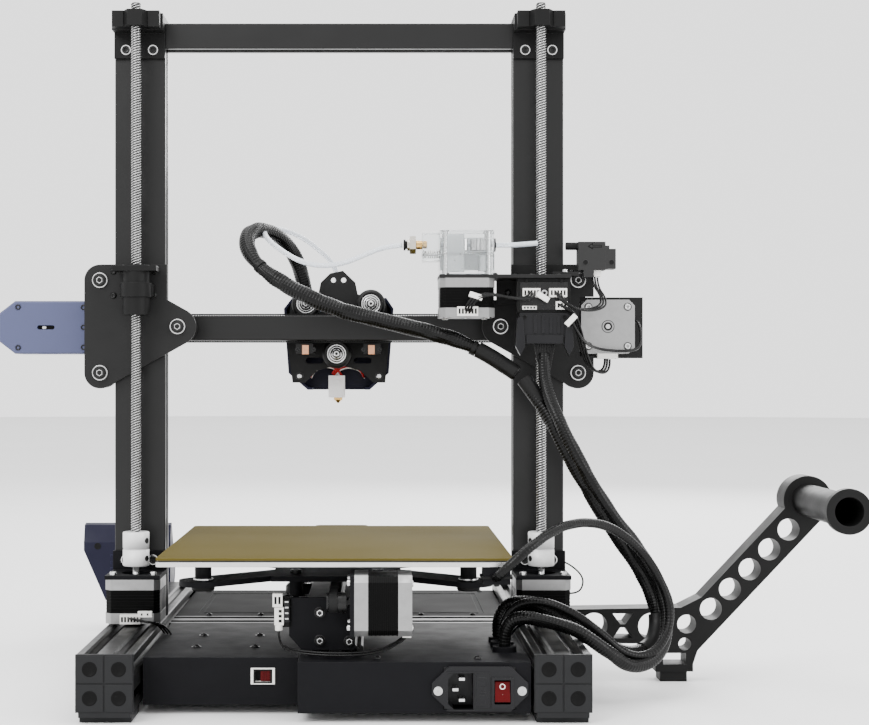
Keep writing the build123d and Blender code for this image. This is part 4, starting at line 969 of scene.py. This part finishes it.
kit = Kit()
kit.box((-207, -186), (46, 60), (321.5, 343.5), SENSOR)
kit.prism([(-207, 322.5), (-215, 322.5), (-215, 338), (-210, 338), (-210, 340.5), (-207, 340.5)],
          "y", 46, 60, SENSOR)
kit.box((-198, -190), (46, 60), (316, 321.5), SENSOR)
kit.lathe([(3, -0.4), (3, 9), (2.7, 9.6), (1.2, 9.6), (1.1, 8)], (-186.4, 53, 340.5), "x", PLASTIC, 24)
for x in (-191.4, -211.6):
    kit.lathe([(2.3, 0.0), (2.3, 0.3), (1.9, 0.3), (1.8, -0.1)], (x, 60, 327.4), "y", SENSOR, 24)
    # painted shade: a dark disc stands in for the hole inside each ring
    kit.lathe([(1.9, 0.0), (1.9, 0.12), (0, 0.12)], (x, 60, 327.4), "y", HOLE_SHADE, 24)
arrow = [(-204, 339), (-197.2, 339), (-197.2, 337.4), (-193, 340), (-197.2, 342.6), (-197.2, 341),
         (-204, 341)]
inner_arrow = [(-203.3, 339.6), (-196.6, 339.6), (-196.6, 338.6), (-194.2, 340), (-196.6, 341.4),
               (-196.6, 340.4), (-203.3, 340.4)]
# painted shade: a dark arrow under a slightly smaller raised one leaves a dark edge round the mark,
# standing in for the shade along it
kit.prism(arrow, "y", 59.9, 60.25, DIMPLE_SHADE)
kit.prism(inner_arrow, "y", 60.2, 60.4, SENSOR)
socket_strip(kit, (-204, -195), (49, 57), (316.6, 321.6), 3, "-z")
kit.piece("runout_sensor", "gantry", ["filament_sensor"], bevel=0.5)

kit = Kit()
kit.box((-178, -137.5), (66, 74), (288.1, 314.3), PLASTIC)
kit.box((-176, -139.5), (74, 75), (290, 311.5), BLACK_STEEL)
socket_strip(kit, (-154.6, -141.2), (75, 79.5), (299.6, 306.4), 5, "+y")
socket_strip(kit, (-174.9, -161.4), (75, 79.5), (299.6, 306.4), 5, "+y")
socket_strip(kit, (-175.4, -166.5), (75, 79), (290.2, 296.4), 3, "+y")
socket_strip(kit, (-152, -141), (75, 77), (290.2, 293), 4, "+y")
kit.ring((-158, 75, 303), "y", 2.4, 1.2, 0.8, DULL, 24)
for x in (-171, -144.5):
    kit.box((x - 0.8, x + 0.8), (74, 76), (311, 314.3), PLASTIC)
kit.box((-177, -139), (64, 76), (264, 287.9), GLOSS)
for x0 in range(-170, -146, 6):
    kit.box((x0, x0 + 2.2), (76, 77), (272, 286), GLOSS)
kit.box((-172, -144), (75, 78), (264.5, 270.5), GLOSS)
for x0, x1 in ((-180.2, -173), (-143, -135.8)):
    mid = (x0 + x1) / 2
    kit.prism([(x0 + 1.5, 284), (x1 - 1.5, 284), (x1, 262), (mid, 255), (x0, 262)], "y", 72, 79, GLOSS)
for x in (-173.2, -142.8):
    # painted shade: a small dark dish stands in for each mounting hole
    kit.lathe([(1.6, 0), (1.6, 0.8), (0.9, 0.8), (0.9, 0.3), (0, 0.3)], (x, 76, 284.4), "y", HOLE_SHADE, 20)
for i in range(12):
    x = -166.5 + 1.45 * i
    kit.lathe([(0.75, 0), (0.75, 26)], (x, 72 - 0.12 * abs(i - 5.5), 266),
              (0.035 * (5.5 - i), 0.02, -1), BLACK_WIRE, 10)
kit.piece("gantry_board", "gantry", ["adapter_board"], bevel=0.35)

# ---- belts ----


def belt(name, node, body, axis, ends, radius, level):
    """A toothed belt round two equal pulleys: 2 mm teeth on the inside, width along the axis."""
    kit = Kit()
    (a0, b0), (a1, b1) = ends
    run = Vector((a1 - a0, b1 - b0)).length
    way = Vector((a1 - a0, b1 - b0)) / run
    out = Vector((way.y, -way.x))
    bend = radius + 0.9
    half_turn = pi * bend
    total = 2 * (run + half_turn)
    count = round(total / 2) * 4
    place = TO_SPACE[axis]
    rings = []
    for k in range(count):
        s = total * k / count
        if s < run:
            spot, normal = Vector((a0, b0)) + way * s, out
        elif s < run + half_turn:
            angle = (s - run) / bend
            spot, normal = Vector((a1, b1)), out * cos(angle) + way * sin(angle)
        elif s < 2 * run + half_turn:
            spot, normal = Vector((a1, b1)) - way * (s - run - half_turn), -out
        else:
            angle = (s - 2 * run - half_turn) / bend
            spot, normal = Vector((a0, b0)), -out * cos(angle) - way * sin(angle)
        inner = radius + (0.22 if k % 4 in (0, 1) else 0.85)
        outer = radius + 1.6
        section = [(inner, level - 3), (outer, level - 3), (outer, level + 3), (inner, level + 3)]
        rings.append([edge_vert(kit, place, spot + normal * reach, width) for reach, width in section])
    kit.add_faces(bridge(rings, closed=True), RUBBER, False)
    kit.piece(name, body, [node], bevel=0)


def edge_vert(kit, place, spot, width):
    return kit.bm.verts.new(place(spot.x, spot.y, width))


belt("x_toothed_belt", "x_belt", "gantry", "y", ((-212.1, 278.5), (232, 278.5)), 10.1, -10)
belt("y_toothed_belt", "y_belt", "frame", "x", ((-246, 80), (178.5, 80)), 5.2, 1.0)

# ---- bed ----

kit = Kit()
kit.prism(rounded(-125, 125, -68, 187, 3), "z", 105.85, 109.2, BED_METAL)
kit.prism(rounded(-124, 124, -67, 186, 3), "z", 109.2, 110.35, MAGNET)
for x in (-96, 96):
    for y in (-24.5, 143.5):
        kit.lathe([(3.2, 104.2), (3.2, 105.8)], (x, y, 0), "z", STEEL, 24)
kit.piece("bed_plate", "bed", ["heated_bed"], bevel=0.25)

kit = Kit()
for x in (-30.6, 30.6):
    for y in (24.5, 104.5):
        kit.screw((x, y, 92), "z", 4.4, 3)
        kit.lathe([(3.9, 0), (3.9, 3.0), (3.4, 3.4), (2.5, 3.4)], (x, y, 64.9), (0, 0, -1), STEEL, 6)
for x in (-96, 96):
    for y in (-24.5, 143.5):
        kit.lathe([(8, 0), (8.4, 0.6), (8.4, 3), (7.6, 3.8), (2.5, 3.8)], (x, y, 88),
                  (0, 0, -1), PLASTIC, 28)
        kit.ring((x, y, 92), "z", 7.2, 5.9, 1.2, STEEL)
for y in (170.5, 183.5):
    kit.button((-113.5, y, 93.5), (0, 0, -1), 2.2)
kit.box((-124.5, -102.5), (166.5, 187), (97.4, 99.2), PLASTIC)
kit.piece("carriage_fittings", "bed", bevel=0.2, segments=1)

# ---- inlet, rocker and selector ----

kit = Kit()
for x, z in ((-88.5, 29.4), (-88.5, 14.8), (-84, 22.1)):
    kit.box((x - 2.1, x + 2.1), (184.9, 196.2), (z - 1.05, z + 1.05), STEEL)
kit.box((-106.6, -98.2), (203.2, 203.7), (12, 34), GLOSS)
for low in (26, 14):
    kit.box((-104.6, -100.2), (203.6, 204.1), (low, low + 6), GLOSS)
for z in (21.5, 23, 24.5):
    kit.box((-104.4, -100.4), (203.6, 203.95), (z - 0.35, z + 0.35), GLOSS)
for rim in ((34.7, 35.6), (8.7, 9.5)):
    kit.box((-97, -77.6), (202.4, 203.2), rim, GLOSS)
kit.piece("inlet_details", "frame", bevel=0.2)

axle_z = 21.7
kit = Kit()
profile = [(194.5, axle_z), (197, axle_z - 6.2), (204.6, axle_z - 6.6), (205, axle_z - 6.0),
           (204.2, axle_z - 3), (203, axle_z), (202.2, axle_z + 3.4), (201.6, axle_z + 6.8),
           (201.1, axle_z + 7.2), (196, axle_z + 6.2)]
kit.prism(profile, "x", -121.3, -110.9, RED)
kit.lathe([(1.45, 0), (2.0, 0), (2.0, 0.3), (1.45, 0.3), (1.45, 0)], (-116.1, 202.02, 25.4),
          (0, 1, 0.22), WHITE, 32)
kit.prism([(203.2, 20.3), (203.55, 20.4), (204.55, 16.9), (204.2, 16.8)], "x", -116.5, -115.7, WHITE)
kit.piece("rocker_cap", "rocker", ["power_rocker"], bevel=0.25)

kit = Kit()
# painted shade: dark boxes line the back and sides of the selector's well and frame its mouth, standing in
# for the shade in the recess round the slide
kit.box((45.45, 56.55), (165.9, 166.2), (23.15, 30.85), HOLE_SHADE)
kit.box((45.41, 45.65), (166, 171), (23.15, 30.85), HOLE_SHADE)
kit.box((56.35, 56.59), (166, 171), (23.15, 30.85), HOLE_SHADE)
for x in ((44.3, 45.4), (56.6, 57.7)):
    kit.box(x, (171.1, 171.35), (22.1, 31.9), HOLE_SHADE)
for z in ((22.1, 23.1), (30.9, 31.9)):
    kit.box((45.4, 56.6), (171.1, 171.35), z, HOLE_SHADE)
kit.piece("selector_well_shade", "frame", bevel=0)

kit = Kit()
kit.box((45.7, 52.6), (166.35, 170.6), (23.4, 30.6), RED)
for x in (46.6, 48.6, 50.4):
    kit.box((x, x + 0.7), (170.5, 171.3), (23.6, 30.4), RED)
kit.piece("selector_slide", "selector", ["voltage_slider"], bevel=0.15)

# ---- rail caps, display and tensioner ----

kit = Kit()
for side in (-1, 1):
    for end in (-1, 1):
        for dx, dz in corners(10):
            # painted shade: a shallow dark disc in each corner of the cap stands in for the shade in its
            # round dimple
            kit.lathe([(5.2, -0.2), (5.2, 0.12), (4.8, 0.25), (4.2, 0.25), (4.0, 0.05), (0, 0.05)],
                      (side * UPRIGHT_X + dx, end * 203.8, 27.5 + dz), (0, end, 0), DIMPLE_SHADE, 36)
        kit.prism(rounded(side * UPRIGHT_X - 17.5, side * UPRIGHT_X + 17.5, min(end * 161, end * 197),
                          max(end * 161, end * 197), 4), "z", 0.05, 3.2, FOOT)
kit.piece("cap_dimples", "frame", bevel=0)

kit = Kit()
body = [(-206, 30), (-206, 84), (-211, 100), (-218, 101.5), (-245, 56), (-244, 48), (-228, 30)]
kit.prism(body, "x", 163.1, 244, NAVY)
bmesh.ops.bisect_plane(
    kit.bm, geom=kit.bm.verts[:] + kit.bm.edges[:] + kit.bm.faces[:], plane_co=(245.5, 0, 80),
    plane_no=(40, 0, -17.5), clear_outer=True,
)
bmesh.ops.holes_fill(kit.bm, edges=[e for e in kit.bm.edges if e.is_boundary])
kit.box((146, 163.1), (-214, -204.3), (16, 44), NAVY)
down = Vector((-27, -45.5)).normalized()
away = Vector((down.y, -down.x))
if away.x > 0:
    away = -away


def on_screen(start, stop, low_lift, high_lift):
    top = Vector((-218, 101.5))
    return [tuple(top + down * t + away * h) for t, h in
            ((start, low_lift), (stop, low_lift), (stop, high_lift), (start, high_lift))]


kit.prism(on_screen(3, 50, -1, 0.35), "x", 166, 224, NAVY)
kit.prism(on_screen(6, 46, -0.5, 0.75), "x", 169, 214, GLASS)
knob = Vector((-218, 101.5)) + down * 38
kit.lathe([(6.8, 0), (6.8, 5.5), (6.0, 6.4), (1.5, 6.1), (0, 5.9)], (222.5, knob.x, knob.y),
          (0, away.x, away.y), PLASTIC, 48)
for z in (52, 58, 64, 70):
    kit.box((163.5, 219), (-206.2, -205.5), (z, z + 2.4), NAVY)
# painted shade: a shallow dark dish stands in for each screw hole
for x in (172, 231):
    kit.lathe([(3.2, 0), (3.2, 0.3), (2.4, 0.3), (2.3, 0.05), (0, 0.05)],
              (x, -206, 80.5 if x > 200 else 40), "y", HOLE_SHADE, 24)
kit.piece("display_unit", "frame", ["display"], bevel=1.1, segments=3)

kit = Kit()
for x, z in ((205.5, 294.5), (205.5, 262.5), (258, 294.8), (258, 262.2), (205.5, 278.5)):
    kit.lathe([(2.9, -0.2), (2.9, 0.08), (2.5, 0.08), (2.4, -0.1)], (x, 14, z), "y", SLATE, 24)
    kit.screw((x, 13.4, z), "y", 2.2, 1.3)
    if x > 205.5 or z != 278.5:
        kit.button((x, -24, z), (0, -1, 0), 2.4)
kit.lathe([(1.7, 10), (1.7, 11.2), (1.2, 11.4), (0, 11.4)], (237.6, 0, 278.5), "y", STEEL, 24)
# painted shade: a dark strip stands in for the slot
kit.box((228.9, 242.5), (9.9, 10.3), (276.9, 280.1), HOLE_SHADE)
kit.piece("tensioner_fittings", "gantry", bevel=0.1, segments=1)

# ---- limit switch connectors on the bed motor's bracket ----

kit = Kit()
kit.box((31, 38), (157.2, 160), (60, 82), PLASTIC)
socket_strip(kit, (37.5, 44.5), (159, 165), (75, 84.4), 2, "+y")
kit.box((36.6, 43.2), (159.2, 164.4), (62, 74.6), WHITE)
# painted shade: dark boxes stand in for the pin holes
for z in (64, 67.5, 71):
    kit.box((38, 40.2), (164.3, 164.7), (z, z + 2), HOLE_SHADE)
kit.lathe([(1.4, 0), (2.7, 0.6), (2.7, 4), (2.0, 5)], (40.2, 162, 57.6), "z", WHITE, 24)
kit.box((32.6, 36.4), (160, 164), (64, 80), GLOSS)
for z in (66, 70, 74, 78):
    kit.box((33.2, 35.8), (163.9, 164.3), (z, z + 1.1), DULL)
kit.box((141, 151.7), (82.5, 86), (56.2, 60.6), WHITE)
# painted shade: dark boxes stand in for the pin holes
for x in (143.6, 148):
    kit.box((x, x + 1.2), (85.9, 86.2), (57.6, 59.2), HOLE_SHADE)
kit.piece("frame_connectors", "frame", bevel=0.3)

kit = Kit()
for centre, tilt in (((-104.8, 88, 300), 0.32), ((-177.4, 83, 281.8), -0.8), ((-156, 83, 299.5), 0.55)):
    c, s = cos(tilt), sin(tilt)
    tag = [(-5.2, -2.1), (5.2, -2.1), (5.2, 2.1), (-5.2, 2.1)]
    kit.prism([(centre[0] + a * c - b * s, centre[2] + a * s + b * c) for a, b in tag], "y",
              centre[1] - 2, centre[1] + 2, WHITE)
kit.piece("lead_tags", "gantry", bevel=0.4)

# ---- motor and sensor leads ----


def lead(name, body, route, diameter, mat=BLACK_WIRE):
    """A thin lead as a curve with one NURBS spline, the route in metres."""
    obj = spline_line(route, name)
    obj.data.bevel_depth = diameter / 2
    obj.data.bevel_resolution = 4
    obj.data.use_fill_caps = True
    obj.data.materials.append(mat)
    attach(obj, body)
    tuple(route[0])


def beside(route, shift):
    return [tuple(c + s for c, s in zip(p, shift)) for p in route]


SWITCH_LEAD = [
    (0.0402, 0.162, 0.0578), (0.0402, 0.166, 0.051), (0.035, 0.178, 0.0465), (0.018, 0.188, 0.0452),
    (-0.004, 0.192, 0.0448), (-0.026, 0.192, 0.046), (-0.042, 0.189, 0.0505),
    (-0.0505, 0.183, 0.0565),
]
LEFT_LEAD = [
    (0.157, 0.0755, 0.0535), (0.154, 0.083, 0.0545), (0.146, 0.087, 0.053), (0.139, 0.081, 0.0515),
    (0.1335, 0.072, 0.047), (0.131, 0.065, 0.0408),
]
RIGHT_LEAD = [(-x, y, z) for x, y, z in LEFT_LEAD]
LOOP_LEAD = [
    (-0.178, 0.033, 0.0925), (-0.1845, 0.0355, 0.0895), (-0.1925, 0.04, 0.081),
    (-0.191, 0.0415, 0.072), (-0.185, 0.042, 0.0685), (-0.1788, 0.042, 0.0688),
]
SENSOR_LEAD = [
    (-0.1995, 0.053, 0.3166), (-0.2, 0.054, 0.309), (-0.205, 0.06, 0.301), (-0.204, 0.07, 0.293),
    (-0.192, 0.079, 0.2892), (-0.178, 0.0845, 0.291), (-0.169, 0.085, 0.298),
    (-0.168, 0.0795, 0.303),
]
FEED_LEAD = [
    (-0.099, 0.0812, 0.289), (-0.099, 0.087, 0.292), (-0.105, 0.0895, 0.2995),
    (-0.117, 0.089, 0.3015), (-0.131, 0.087, 0.2985), (-0.142, 0.0865, 0.2975),
    (-0.148, 0.085, 0.3005), (-0.148, 0.0795, 0.303),
]
MOTOR_LEAD = [
    (-0.212, 0.033, 0.2532), (-0.212, 0.0345, 0.2465), (-0.2065, 0.041, 0.2415),
    (-0.197, 0.05, 0.2445), (-0.191, 0.058, 0.2555), (-0.186, 0.0675, 0.272),
    (-0.1805, 0.077, 0.286), (-0.174, 0.082, 0.2915), (-0.171, 0.079, 0.293),
]
LONG_LEAD = [
    (-0.1785, 0.083, 0.28), (-0.183, 0.08, 0.272), (-0.19, 0.068, 0.2655), (-0.2, 0.052, 0.261),
    (-0.214, 0.0425, 0.2592), (-0.2285, 0.0405, 0.259), (-0.2375, 0.035, 0.2615),
    (-0.2405, 0.025, 0.271), (-0.2405, 0.015, 0.281), (-0.2375, 0.008, 0.2855),
    (-0.234, 0.0035, 0.281),
]
for n, shift in enumerate(((0, 0, 0), (0.0004, -0.0022, 0.0013))):
    lead(f"switch_lead_{n}", "frame", beside(SWITCH_LEAD, shift), 0.0016)
for n, shift in enumerate(((0.003, 0, 0.0004), (0.0005, 0, 0), (-0.002, 0, -0.0004))):
    lead(f"left_motor_lead_{n}", "frame", beside(LEFT_LEAD, shift), 0.0016)
    lead(f"right_motor_lead_{n}", "frame", beside(RIGHT_LEAD, tuple(-c for c in shift)), 0.0016)
lead("bracket_lead", "frame", LOOP_LEAD, 0.0014)
for n, shift in enumerate(((0, 0, 0), (-0.002, 0.0002, -0.0006), (0.0018, -0.0004, 0.0008))):
    lead(f"sensor_lead_{n}", "gantry", beside(SENSOR_LEAD, shift), 0.0015)
    lead(f"feed_lead_{n}", "gantry", beside(FEED_LEAD, shift), 0.0017)
    lead(f"motor_lead_{n}", "gantry", beside(MOTOR_LEAD, shift), 0.0018)
lead("tagged_lead", "gantry", LONG_LEAD, 0.0022)
HEATER_LEADS = (
    [(-0.0005, -0.052, 0.2398), (0.003, -0.05, 0.2455), (0.011, -0.0495, 0.2485), (0.019, -0.0515, 0.247),
     (0.0245, -0.057, 0.243), (0.026, -0.062, 0.239)],
    [(0.0065, -0.052, 0.2398), (0.0035, -0.05, 0.2448), (-0.004, -0.0495, 0.248), (-0.012, -0.0515, 0.247),
     (-0.0175, -0.057, 0.243), (-0.019, -0.062, 0.239)],
)
for n, route in enumerate(HEATER_LEADS):
    lead(f"heater_lead_{n}", "head", route, 0.0019, RED_WIRE)
    lead(f"heater_lead_{n + 2}", "head", beside(route, (0.001, 0.0016, 0.0017)), 0.0016, RED_WIRE)
    lead(f"probe_lead_{n}", "head", beside(route, (-0.0004, -0.0026, -0.0012)), 0.0012, WHITE)

# ---- stage, light and camera ----


def floor():
    """A wide pale floor."""
    kit = Kit()
    kit.lathe([(9000, -0.4), (9000, -0.2), (0, -0.2)], (0, 0, 0), "z", FLOOR, 96)
    obj = kit.piece("floor", None, bevel=0)
    obj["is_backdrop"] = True


def area_light(name, place, aim, size, power):
    lamp = bpy.data.lights.new(name, "AREA")
    lamp.shape = "RECTANGLE"
    lamp.size, lamp.size_y = size
    lamp.energy = power
    obj = bpy.data.objects.new(name, lamp)
    show(obj)
    obj.location = place
    obj.rotation_euler = (Vector(aim) - Vector(place)).to_track_quat("-Z", "Y").to_euler()


FLOOR = material("pale_floor", (0.86, 0.86, 0.86), (0.84, 0.84, 0.84), 0.7, 0.0, patch=2, bump=0.02)
floor()
world = bpy.data.worlds.new("studio")
bpy.context.scene.world = world
world.use_nodes = True
sky = world.node_tree.nodes["Background"]
sky.inputs["Color"].default_value = (1.0, 1.0, 1.0, 1)
sky.inputs["Strength"].default_value = 2.1
area_light("key", (1.1, 1.5, 1.5), (0, 0, 0.25), (1.1, 0.9), 38)
area_light("side", (-1.7, 1.0, 0.9), (0, 0, 0.25), (0.8, 1.2), 22)
area_light("top", (0.1, 0.1, 1.9), (0, 0, 0.1), (1.4, 1.2), 22)
area_light("front", (-0.6, -1.9, 1.1), (0, 0, 0.25), (1.2, 0.9), 30)

FOCAL_PIXELS = 1650
PHOTO_WIDTH = 869
SENSOR_WIDTH = 36
camera_data = bpy.data.cameras.new("camera")
camera_data.sensor_width = SENSOR_WIDTH
camera_data.lens = FOCAL_PIXELS / PHOTO_WIDTH * SENSOR_WIDTH
camera_data.shift_x = 0.0692
camera_data.shift_y = 0.0178
camera_data.clip_end = 60
camera = bpy.data.objects.new("camera", camera_data)
camera.location = (-0.0279, 1.338, 0.2379)
camera.rotation_euler = (radians(90), 0, radians(180))
bpy.context.scene.collection.objects.link(camera)
bpy.context.scene.camera = camera

low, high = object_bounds()
{"cad": [list(cad_low), list(cad_high)], "visual": [list(low), list(high)]}
